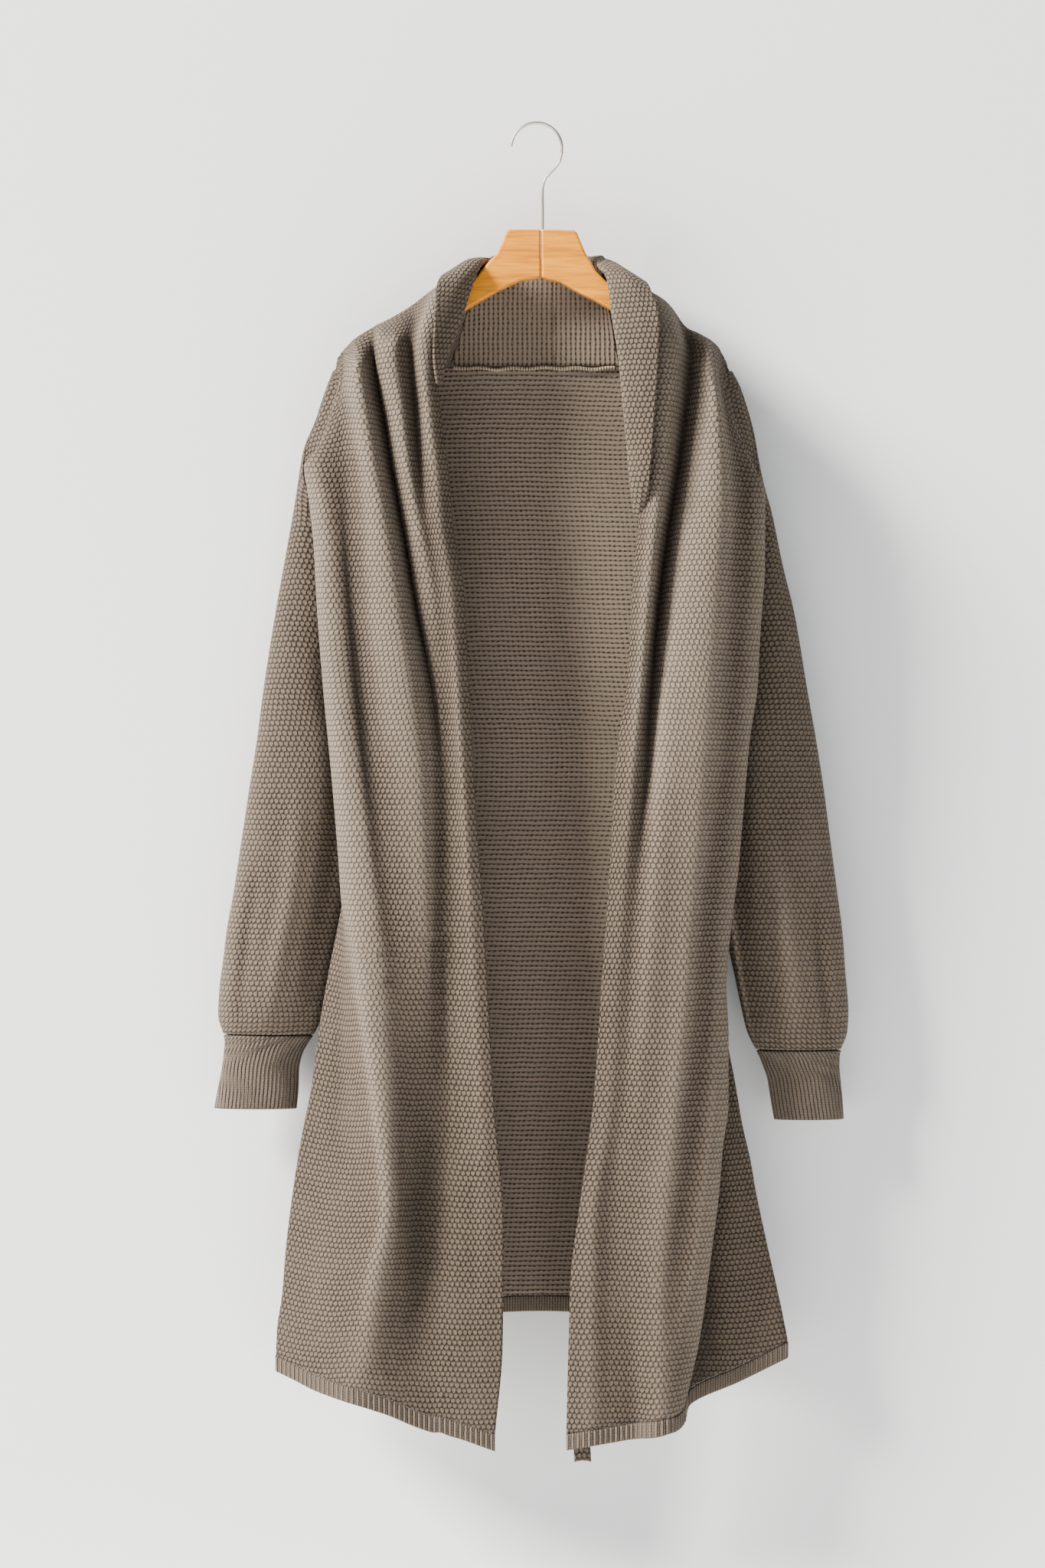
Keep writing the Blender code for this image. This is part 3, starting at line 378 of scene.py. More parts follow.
def wrap_points(rails: Mapping[str, Any], sleeve: Sequence[Sequence[float]],
                z: float) -> tuple[np.ndarray, np.ndarray]:
    """The last two points of a front's row: halfway round the shoulder, and at its side seam.

    Args:
        rails: The front's folds.
        sleeve: The sleeve's table.
        z: The row's height at the side.

    Returns:
        Both points, each x and y.
    """
    edge = side_point(rails, sleeve, z, False)
    before = smooth(rails["behind"], z)
    if not sleeve[0][0] > z > UNDERARM_Z:
        return (before + edge) / 2, edge
    section = smooth(sleeve, z)
    extra = wrap_angle(z)
    share = min(extra / math.radians(20.0), 1.0)
    open_angle = math.radians(section[4])
    halfway = (before + edge) / 2 * (1 - share) + ring_point(section, open_angle + extra * 0.45) * share
    return halfway, edge * (1 - share) + ring_point(section, open_angle + extra) * share


def side_point(rails: Mapping[str, Any], sleeve: Sequence[Sequence[float]], z: float,
               rear: bool) -> np.ndarray:
    """The edge of the body's side at a height: the armhole, and the side seam below the arm.

    Args:
        rails: The front's folds.
        sleeve: The sleeve's table.
        z: The height to read at.
        rear: Whether to give the back panel's edge.

    Returns:
        The point's x and y.
    """
    if sleeve[0][0] > z > UNDERARM_Z:
        return armhole_point(sleeve, z, rear)
    x, y = smooth(rails["side"], z)
    return np.array((x, y + (CLOTH + SIDE_GAP if rear else 0.0)))


def yoke_seam(x: float) -> tuple[float, float]:
    """Depth and height of the seam between the yoke and the back panel."""
    to_end = min(x - YOKE_LEFT_X, YOKE_RIGHT_X - x)
    depth = 9.0 + (BACK_Y - 11.0) * min(max(to_end / 90.0, 0.0), 1.0) ** 0.6
    drop = 7.0 * max(1.0 - to_end / 30.0, 0.0)
    return depth, YOKE_Z - drop - 0.04 * max(x - NECK_RIGHT_X, 0.0)


def front_grid(rails: Mapping[str, Any], sleeve: Sequence[Sequence[float]], neck_x: float,
               steps: int, rows: int) -> np.ndarray:
    """A front panel from its yoke seam over the shoulder to the rib band, a row at a time.

    Args:
        rails: The panel's folds, each a table of z, x, y, from the front edge to the side.
        sleeve: The sleeve's table, whose open edge bounds the armhole.
        neck_x: Where the yoke seam meets the neck.
        steps: Points in each gap between two rails.
        rows: Rows from the shoulder ridge down to the rib band.

    Returns:
        The grid, rows by columns by three, in millimetres.
    """
    grid = []
    # The side comes twice, because each row has one more point halfway round the shoulder.
    for turn in np.linspace(0.0, math.pi / 2, ARCH_ROWS)[:-1]:
        row = []
        for name, rail in [*rails.items(), ("side", rails["side"])]:
            ridge_z, ridge_x, _ = rail[0]
            if name == "side" and len(row) < len(rails):
                ridge_z, ridge_x = (np.array(rails["behind"][0][:2]) + rail[0][:2]) / 2
            seam_x = neck_x if name == "edge" else ridge_x
            depth, seam_z = yoke_seam(seam_x)
            rise = math.sin(turn)
            row.append((seam_x + (ridge_x - seam_x) * rise, depth * math.cos(turn),
                        seam_z + (ridge_z - seam_z) * rise))
        grid.append(spline(row, steps))
    for share in np.linspace(0.0, 1.0, rows) ** 1.12:
        row = []
        for name, rail in rails.items():
            top, bottom = rail[0][0], rail[-1][0]
            z = top + (bottom - top) * share
            if name == "side":
                halfway, edge = wrap_points(rails, sleeve, z)
                row += [(*halfway, (row[-1][2] + z) / 2), (*edge, z)]
            else:
                row.append((*smooth(rail, z), z))
        grid.append(spline(row, steps))
    return np.array(grid)


def back_hem_z(share: float) -> float:
    """Height of the back's rib band: highest at the middle, lowest at the side seams."""
    corner = LEFT_FRONT["side"][-1][0] if share < 0.5 else RIGHT_FRONT["side"][-1][0]
    return BACK_HEM_Z + (corner - BACK_HEM_Z) * abs(2 * share - 1) ** 2.2


def back_grid(columns: int, rows: int) -> np.ndarray:
    """The back panel from its yoke and neck seam to the rib band.

    Args:
        columns: Points from side to side, closer together near the sides.
        rows: Rows from the seam to the rib band.

    Returns:
        The grid, rows by columns by three, in millimetres.
    """
    even = np.linspace(0.0, 1.0, columns)
    shares = even - 0.045 * np.sin(2 * math.pi * even)
    grid = []
    for down in np.linspace(0.0, 1.0, rows) ** 1.08:
        row = []
        for share in shares:
            centre_x = YOKE_LEFT_X + (YOKE_RIGHT_X - YOKE_LEFT_X) * share
            top = yoke_seam(centre_x)[1] - 2 * SEAM
            z = top + (back_hem_z(share) - top) * down
            left = side_point(LEFT_FRONT, LEFT_SLEEVE, z, True)
            right = side_point(RIGHT_FRONT, RIGHT_SLEEVE, z, True)
            x = left[0] + (right[0] - left[0]) * share
            flat_y = BACK_Y + 3.0 * math.sin(0.045 * x + 0.6) * min(4 * down, 1.0)
            seam_y = yoke_seam(centre_x)[0]
            flat_y = seam_y + (flat_y - seam_y) * min(down / 0.03, 1.0)
            edge_y = left[1] if share < 0.5 else right[1]
            blend = min(min(share, 1 - share) / 0.15, 1.0) ** 0.55
            row.append((x, edge_y + (flat_y - edge_y) * blend, z))
        grid.append(row)
    return np.array(grid)


def sleeve_grid(table: Sequence[Sequence[float]], columns: int, rows: int) -> np.ndarray:
    """A sleeve from the armhole to the cuff, with its seam facing the body.

    Args:
        table: The sleeve's sections from the top down.
        columns: Points round the sleeve.
        rows: Rings from the shoulder to the cuff.

    Returns:
        The grid, rings by columns by three, in millimetres.
    """
    grid = []
    for z in np.linspace(table[0][0], table[-1][0], rows):
        section = smooth(table, z)
        open_angle = math.radians(max(section[4], 0.0)) + SLEEVE_SEAM / section[3]
        angles = np.linspace(open_angle + wrap_angle(z), 2 * math.pi - open_angle, columns)
        grid.append([(*ring_point(section, angle), z) for angle in angles])
    return np.array(grid)


def stand_grid(collar: Sequence[Sequence[Sequence[float]]], rails: Mapping[str, Any], neck_x: float,
               steps: int, rises: int) -> np.ndarray:
    """Half of the collar's stand: the back-neck cloth from the neck seam up to the roll.

    Args:
        collar: The collar's stations, which give the roll's line.
        rails: The front's folds, whose edge the stand joins.
        neck_x: Where the yoke seam meets the neck.
        steps: Points in each gap between two stations.
        rises: Rows from the seam to the roll.

    Returns:
        The grid, rows by columns by three, in millimetres.
    """
    ridge_z, ridge_x, _ = rails["edge"][0]
    centre = collar[0][0][0]
    side = 1.0 if neck_x > centre else -1.0
    tops = [(centre, 28.0, -126 - COLLAR_GAP)]
    tops += [(x, y, z - COLLAR_GAP) for (x, y, z), *_ in collar[1:3]]
    feet = []
    for top in tops:
        foot_x = centre + (neck_x - side * 2 * SEAM - centre) * (top[0] - centre) / (neck_x - centre)
        feet.append((foot_x, yoke_seam(foot_x)[0], YOKE_Z))
    depth, seam_z = yoke_seam(neck_x)
    tops.append((ridge_x, 1.0, ridge_z))
    feet.append((neck_x - side * 2 * SEAM, depth, seam_z))
    top_curve, foot_curve = spline(tops, steps), spline(feet, steps)
    grid = []
    for turn in np.linspace(0.0, math.pi / 2, rises):
        x = foot_curve[:, 0] + (top_curve[:, 0] - foot_curve[:, 0]) * math.sin(turn)
        y = top_curve[:, 1] + (foot_curve[:, 1] - top_curve[:, 1]) * math.cos(turn)
        z = foot_curve[:, 2] + (top_curve[:, 2] - foot_curve[:, 2]) * math.sin(turn)
        grid.append(np.stack((x, y, z), axis=1))
    return np.array(grid)


def fall_grid(collar: Sequence[Sequence[Sequence[float]]], across: int, along: int) -> np.ndarray:
    """The collar's turned-back edge from centre back round to its end on the front.

    Args:
        collar: The collar's stations.
        across: Points in each gap of a station.
        along: Points in each gap between two stations.

    Returns:
        The grid, stations by points of a station by three, in millimetres.
    """
    turned = [spline(station, across) for station in collar]
    lines = [spline([row[column] for row in turned], along) for column in range(len(turned[0]))]
    return np.transpose(np.array(lines), (1, 0, 2))


@dataclass(frozen=True)
class Crease:
    """A soft ridge or trough, placed along a line on a panel's grid of points.

    Places are shares of the way across and down the grid; sizes are in millimetres.
    """

    start: tuple[float, float]
    bend: tuple[float, float]
    end: tuple[float, float]
    half_width: float
    depth: float

    def apply(self, grid: np.ndarray, normals: np.ndarray) -> np.ndarray:
        """Raise or sink the cloth near the crease's line, fading out at both of its ends.

        Args:
            grid: The panel's points.
            normals: The panel's outward normals.

        Returns:
            The panel's points with the crease in them.
        """
        rows, columns = grid.shape[:2]
        shares = np.linspace(0.0, 1.0, CREASE_PIECES)[:, None]
        start, bend, end = (np.array(place) for place in (self.start, self.bend, self.end))
        line = start * (1 - shares) ** 2 + 2 * bend * shares * (1 - shares) + end * shares ** 2
        places = np.stack((line[:, 0] * (columns - 1), line[:, 1] * (rows - 1)), axis=1)
        low = np.clip(places.astype(int), 0, (columns - 2, rows - 2))
        part = places - low
        corner = [grid[low[:, 1] + down, low[:, 0] + over]
                  for down, over in ((0, 0), (0, 1), (1, 0), (1, 1))]
        top = corner[0] + (corner[1] - corner[0]) * part[:, :1]
        bottom = corner[2] + (corner[3] - corner[2]) * part[:, :1]
        route = top + (bottom - top) * part[:, 1:]
        lift = np.zeros((rows, columns))
        fade = np.sin(math.pi * np.clip(shares[:, 0], 0.0, 1.0)) ** 0.6
        nearest = np.full((rows, columns), 1e9)
        for first, second, strength in zip(route[:-1], route[1:], (fade[:-1] + fade[1:]) / 2):
            span = second - first
            along = np.clip(((grid - first) @ span) / max(float(span @ span), 1e-9), 0.0, 1.0)
            away = np.linalg.norm(grid - (first + along[..., None] * span), axis=2)
            closer = away < nearest
            lift[closer] = (strength * np.exp(-(away / self.half_width) ** 2))[closer]
            nearest[closer] = away[closer]
        return grid + normals * (lift * self.depth)[..., None]


def grid_normals(grid: np.ndarray) -> np.ndarray:
    """Unit normals of a grid of points, towards columns crossed with rows."""
    over, down = np.gradient(grid, axis=1), np.gradient(grid, axis=0)
    normals = np.cross(over, down)
    lengths = np.linalg.norm(normals, axis=2, keepdims=True)
    return normals / np.maximum(lengths, 1e-9)


def grid_faces(rows: int, columns: int, closed: bool, start: int = 0) -> np.ndarray:
    """Quads between the points of a grid that is counted a row at a time.

    Args:
        rows: The grid's rows.
        columns: The grid's columns.
        closed: Whether the last column joins the first.
        start: The number of the grid's first point.

    Returns:
        The faces, four point numbers each.
    """
    ids = np.arange(rows * columns).reshape(rows, columns) + start
    following = np.roll(ids, -1, axis=1)
    span = columns if closed else columns - 1
    return np.stack((ids[:-1, :span], ids[1:, :span], following[1:, :span], following[:-1, :span]),
                    axis=2).reshape(-1, 4)


def linear(colour: str) -> tuple[float, float, float, float]:
    """Turn an sRGB hex colour into the linear colour that a shader takes."""
    channels = [int(colour[place:place + 2], 16) / 255.0 for place in (1, 3, 5)]
    return (*[value / 12.92 if value <= 0.04045 else ((value + 0.055) / 1.055) ** 2.4
              for value in channels], 1.0)


def add_node(tree: bpy.types.NodeTree, kind: str, settings: Mapping[str, Any] | None = None,
             inputs: Mapping[int | str, Any] | None = None) -> bpy.types.Node:
    """Add a node with its settings, values and links.

    Args:
        tree: The tree that gets the node.
        kind: The node's type.
        settings: Properties to set on the node.
        inputs: Values for its sockets, or the output sockets that feed them.

    Returns:
        The new node.
    """
    node = tree.nodes.new(kind)
    for name, value in (settings or {}).items():
        setattr(node, name, value)
    for socket, value in (inputs or {}).items():
        if isinstance(value, bpy.types.NodeSocket):
            tree.links.new(value, node.inputs[socket])
        else:
            node.inputs[socket].default_value = value
    return node


def place_object(name: str, data: bpy.types.ID) -> bpy.types.Object:
    """Put new data in the scene as an object.

    Args:
        name: The object's name.
        data: Its mesh, curve, light or camera.

    Returns:
        The new object.
    """
    placed = bpy.data.objects.new(name, data)
    bpy.context.scene.collection.objects.link(placed)
    return placed


@dataclass
class Formula:
    """Short arithmetic for a node tree: each call adds one Math node and gives its output."""

    tree: bpy.types.NodeTree

    def __call__(self, operation: str, *values: Any) -> bpy.types.NodeSocket:
        """Add a Math node.

        Args:
            operation: The Math node's operation.
            values: Its inputs in order, numbers or sockets.

        Returns:
            The node's output.
        """
        inputs = dict(enumerate(values))
        return add_node(self.tree, "ShaderNodeMath", {"operation": operation}, inputs).outputs[0]

    def blend(self, start: float, end: float, value: Any) -> bpy.types.NodeSocket:
        """A smooth step of a value from 0 at the start to 1 at the end."""
        return add_node(self.tree, "ShaderNodeMapRange", {"interpolation_type": "SMOOTHSTEP"},
                        {0: value, 1: start, 2: end, 3: 0.0, 4: 1.0}).outputs[0]

    def noise(self, place: Any, scale: float, detail: float = 2.0) -> bpy.types.NodeSocket:
        """Noise from 0 to 1 at a place."""
        return add_node(self.tree, "ShaderNodeTexNoise", {},
                        {"Vector": place, "Scale": scale, "Detail": detail}).outputs[0]

    def colours(self, share: Any, start: Any, end: Any) -> bpy.types.NodeSocket:
        """Mix two colours by a share."""
        node = add_node(self.tree, "ShaderNodeMix", {"data_type": "RGBA", "blend_type": "MIX"},
                        {0: share, 6: start, 7: end})
        return node.outputs[2]


def blank_material(name: str) -> tuple[bpy.types.Material, Formula]:
    """Start a material with an empty node tree.

    Args:
        name: The material's name.

    Returns:
        The material, and the formula writer of its tree.
    """
    material = bpy.data.materials.new(name)
    material.use_nodes = True
    material.node_tree.nodes.clear()
    return material, Formula(material.node_tree)


def rough_surface(do: Formula, colour: Any, rise: Any, bump: tuple[float, float],
                  rest: Mapping[str, Any]) -> bpy.types.Node:
    """Add a surface shader with a low relief.

    Args:
        do: The formula writer of the tree.
        colour: The surface's colour.
        rise: The relief's height, from 0 to 1.
        bump: The relief's strength, and its depth in metres.
        rest: The shader's other values.

    Returns:
        The shader's node.
    """
    strength, depth = bump
    relief = add_node(do.tree, "ShaderNodeBump", {},
                      {"Strength": strength, "Distance": depth, "Height": rise})
    return add_node(do.tree, "ShaderNodeBsdfPrincipled", {},
                    {"Base Color": colour, "Normal": relief.outputs[0], **rest})


class KnitFace(Enum):
    """Which face of the cloth a finish shows."""

    TUCKS = "tucks"
    COURSES = "courses"
    RIB = "rib"


@dataclass(frozen=True)
class YarnFinish:
    """A soft two-ply cotton and viscose yarn, knitted loosely: matt, with a little nap.

    The yarn's tops are taupe, and the gaps between the stitches are painted nearly black as the shade
    inside them, so that the right side reads as close rows of beads from far off. The nap adds a faint
    pale edge at a glance.
    """

    name: str
    face: KnitFace
    top: str = "#63574A"
    # The pit colour is painted shade: the dark inside the gaps between the stitches.
    pit_shade: str = "#15110E"
    patch: str = "#645A50"
    # The groove colour is painted shade in the grooves of the folds, and the crest colour is painted
    # light on their crests.
    groove: str = "#1A1613"
    crest: str = "#C6B7A4"
    nap: str = "#D9C8B4"
    relief: float = 0.0016
    wide: float = STITCH_WIDE
    tall: float = STITCH_TALL

    def build(self) -> bpy.types.Material:
        """Build the material.

        Returns:
            The finished material.
        """
        material, do = blank_material(self.name)
        tree = do.tree
        place = add_node(tree, "ShaderNodeUVMap", {"uv_map": "cloth_mm"}).outputs[0]
        # The yarn is uneven by up to about a fifth of a stitch, so no row is a straight line.
        broad = do("SUBTRACT", do.noise(place, 60.0, 1.0), 0.5)
        narrow = do("SUBTRACT", do.noise(place, 320.0, 1.0), 0.5)
        split = add_node(tree, "ShaderNodeSeparateXYZ", {}, {0: place})
        u = do("ADD", do("MULTIPLY", split.outputs[0], 1000.0 / self.wide),
               do("ADD", do("MULTIPLY", broad, 0.35), do("MULTIPLY", narrow, 0.35)))
        v = do("ADD", do("MULTIPLY", split.outputs[1], 1000.0 / self.tall),
               do("ADD", do("MULTIPLY", broad, -0.3), do("MULTIPLY", narrow, -0.3)))
        if self.face is KnitFace.TUCKS:
            height = self._tuck_height(do, u, v)
        elif self.face is KnitFace.COURSES:
            height = self._course_height(do, u, v)
        else:
            height = self._rib_height(do, u, v)
        # Each yarn is plied: a fine slanted twist along it, coarser than the real 0.4 mm to show.
        twist = do("MULTIPLY", do("ADD", do("SINE", do("MULTIPLY", do("ADD", u, v), 15.0)), 1.0), 0.5)
        fuzz = do.noise(place, 1500.0, 3.0)
        patch = do.noise(place, 24.0, 3.0)
        # Painted shade: the colour sinks towards the nearly black pit colour where the stitch relief and
        # the ply's twist are low.
        tone = do("ADD", do("MULTIPLY", height, 0.86), do("MULTIPLY", do("SUBTRACT", fuzz, 0.5), 0.5))
        tone = do("ADD", tone, do("MULTIPLY", do("SUBTRACT", twist, 0.5), 0.10))
        tone = add_node(tree, "ShaderNodeClamp", {}, {0: tone}).outputs[0]
        colour = do.colours(tone, linear(self.pit_shade), linear(self.top))
        colour = do.colours(do("MULTIPLY", do.blend(0.35, 0.7, patch), 0.16), colour, linear(self.patch))
        # Painted shade and light of the folds: the colour darkens towards the groove colour where the
        # cloth sinks into a fold, and pales towards the crest colour on its crests.
        fold = add_node(tree, "ShaderNodeAttribute", {"attribute_name": "painted_fold_shading"}).outputs["Fac"]
        colour = do.colours(do("MULTIPLY", do.blend(0.0, 1.0, fold), 0.6), colour, linear(self.groove))
        colour = do.colours(do("MULTIPLY", do.blend(0.0, -1.0, fold), 0.14), colour, linear(self.crest))
        rise = do("ADD", height, do("MULTIPLY", twist, 0.08))
        rise = do("ADD", rise, do("MULTIPLY", fuzz, 0.12))
        shader = rough_surface(do, colour, rise, (1.0, self.relief),
                               {"Roughness": 0.92, "Specular IOR Level": 0.18, "Sheen Weight": 0.10,
                                "Sheen Roughness": 0.55, "Sheen Tint": linear(self.nap)})
        add_node(tree, "ShaderNodeOutputMaterial", {}, {0: shader.outputs[0]})
        return material

    def _tuck_height(self, do: Formula, u: Any, v: Any) -> bpy.types.NodeSocket:
        """Right side: plump beads of yarn between deep pits, each row shifted by half a stitch."""
        away = []
        for shift_u, shift_v in ((0.0, 0.0), (0.5, 1.0)):
            over = do("SUBTRACT", do("FRACT", do("ADD", u, shift_u)), 0.5)
            down = do("SUBTRACT", do("FRACT", do("MULTIPLY", do("ADD", v, shift_v), 0.5)), 0.5)
            down = do("MULTIPLY", down, 1.7)
            # The two legs of a loop close towards its foot, so a bead is a plump drop.
            lean = do("ADD", 0.92, do("MULTIPLY", down, 0.45))
            away.append(do("SQRT", do("ADD", do("POWER", do("MULTIPLY", over, lean), 2.0),
                                      do("POWER", down, 2.0))))
        return do.blend(0.56, 0.24, do("MINIMUM", *away))

    def _course_height(self, do: Formula, u: Any, v: Any) -> bpy.types.NodeSocket:
        """Wrong side: crosswise courses with a sunk dot between the loops of each, painted dark as shade.
        """
        over = do("SUBTRACT", do("FRACT", u), 0.5)
        down = do("SUBTRACT", do("FRACT", v), 0.5)
        zigzag = do("ABSOLUTE", do("SUBTRACT", do("FRACT", do("MULTIPLY", u, 2.0)), 0.5))
        furrow = do.blend(0.02, 0.34, do("ABSOLUTE", do("ADD", down, do("MULTIPLY", zigzag, 0.22))))
        dot = do("SQRT", do("ADD", do("POWER", over, 2.0), do("POWER", do("MULTIPLY", down, 1.3), 2.0)))
        dot = do.blend(0.08, 0.34, dot)
        return do("ADD", do("MULTIPLY", furrow, 0.38), do("MULTIPLY", dot, 0.62))

    def _rib_height(self, do: Formula, u: Any, v: Any) -> bpy.types.NodeSocket:
        """Rib: columns of v-shaped loops, each leg leaning to the column's middle."""
        over = do("SUBTRACT", do("FRACT", u), 0.5)
        groove = do.blend(0.5, 0.28, do("ABSOLUTE", over))
        leg = do("FRACT", do("ADD", v, do("MULTIPLY", do("ABSOLUTE", over), 1.3)))
        loop = do.blend(0.0, 0.35, do("ABSOLUTE", do("SUBTRACT", leg, 0.5)))
        return do("MULTIPLY", groove, do("ADD", 0.62, do("MULTIPLY", loop, 0.38)))


@dataclass(frozen=True)
class GrainedWoodFinish:
    """Pale close-grained hardwood, sanded and sprayed with a thin satin lacquer.

    The lacquer gives a warm honey colour and one soft highlight; the grain shows as faint long
    streaks that follow each arm.
    """

    name: str
    lean: float
    light: str = "#EC9A12"
    dark: str = "#BC6C04"
    fleck: str = "#8E5208"

    def build(self) -> bpy.types.Material:
        """Build the material.

        Returns:
            The finished material.
        """
        material, do = blank_material(self.name)
        tree = do.tree
        place = add_node(tree, "ShaderNodeTexCoord").outputs["Object"]
        turned = add_node(tree, "ShaderNodeMapping", {"vector_type": "POINT"},
                          {0: place, 2: (0.0, math.radians(self.lean), 0.0), 3: (4.0, 26.0, 60.0)})
        streak = do.noise(turned.outputs[0], 7.0, 5.0)
        wide = do.noise(turned.outputs[0], 1.6, 2.0)
        fleck = do.noise(turned.outputs[0], 42.0, 2.0)
        share = do("ADD", do("MULTIPLY", do.blend(0.35, 0.7, streak), 0.6),
                   do("MULTIPLY", do.blend(0.3, 0.7, wide), 0.4))
        colour = do.colours(share, linear(self.light), linear(self.dark))
        colour = do.colours(do("MULTIPLY", do.blend(0.62, 0.75, fleck), 0.25), colour, linear(self.fleck))
        shader = rough_surface(do, colour, streak, (0.25, 0.0002),
                               {"Roughness": do("ADD", 0.36, do("MULTIPLY", streak, 0.12)),
                                "Coat Weight": 0.08, "Coat Roughness": 0.3, "Specular IOR Level": 0.3})
        add_node(tree, "ShaderNodeOutputMaterial", {}, {0: shader.outputs[0]})
        return material


@dataclass(frozen=True)
class DrawnWireFinish:
    """Steel wire, drawn and nickel plated: a pale metal with a soft long highlight."""

    name: str
    colour: str = "#C9C2B6"
    cloud: str = "#9B958B"

    def build(self) -> bpy.types.Material:
        """Build the material.

        Returns:
            The finished material.
        """
        material, do = blank_material(self.name)
        tree = do.tree
        place = add_node(tree, "ShaderNodeTexCoord").outputs["Object"]
        scratch = do.noise(place, 900.0, 2.0)
        cloud = do.noise(place, 60.0, 2.0)
        colour = do.colours(do("MULTIPLY", cloud, 0.4), linear(self.colour), linear(self.cloud))
        shader = rough_surface(do, colour, scratch, (0.1, 0.0001),
                               {"Roughness": do("ADD", 0.26, do("MULTIPLY", scratch, 0.12)),
                                "Metallic": 1.0})
        add_node(tree, "ShaderNodeOutputMaterial", {}, {0: shader.outputs[0]})
        return material


@dataclass
class Wardrobe:
    """The finishes of the whole piece, built once."""

    outside: bpy.types.Material = field(init=False)
    inside: bpy.types.Material = field(init=False)
    stand: bpy.types.Material = field(init=False)
    hem_rib: bpy.types.Material = field(init=False)
    cuff_rib: bpy.types.Material = field(init=False)
    overlock: bpy.types.Material = field(init=False)

    def __post_init__(self) -> None:
        """Build every yarn finish."""
        self.outside = YarnFinish("tuck_knit_right_side", KnitFace.TUCKS).build()
        self.inside = YarnFinish("tuck_knit_wrong_side", KnitFace.COURSES, top="#7F7163", relief=0.0014,
                                 wide=4.65, tall=4.5).build()
        self.stand = YarnFinish("tuck_knit_collar_stand", KnitFace.COURSES, top="#827465", relief=0.0012,
                                wide=4.65, tall=4.5).build()
        self.hem_rib = YarnFinish("rib_knit_hem", KnitFace.RIB, top="#73675A", relief=0.0008,
                                  wide=HEM_RIB / 2, tall=2.6).build()
        self.cuff_rib = YarnFinish("rib_knit_cuff", KnitFace.RIB, top="#6B6054", relief=0.0007,
                                   wide=CUFF_RIB, tall=2.4).build()
        self.overlock = YarnFinish("overlock_seam", KnitFace.RIB, top="#B8A48B", relief=0.0006,
                                   wide=2.5, tall=2.5).build()


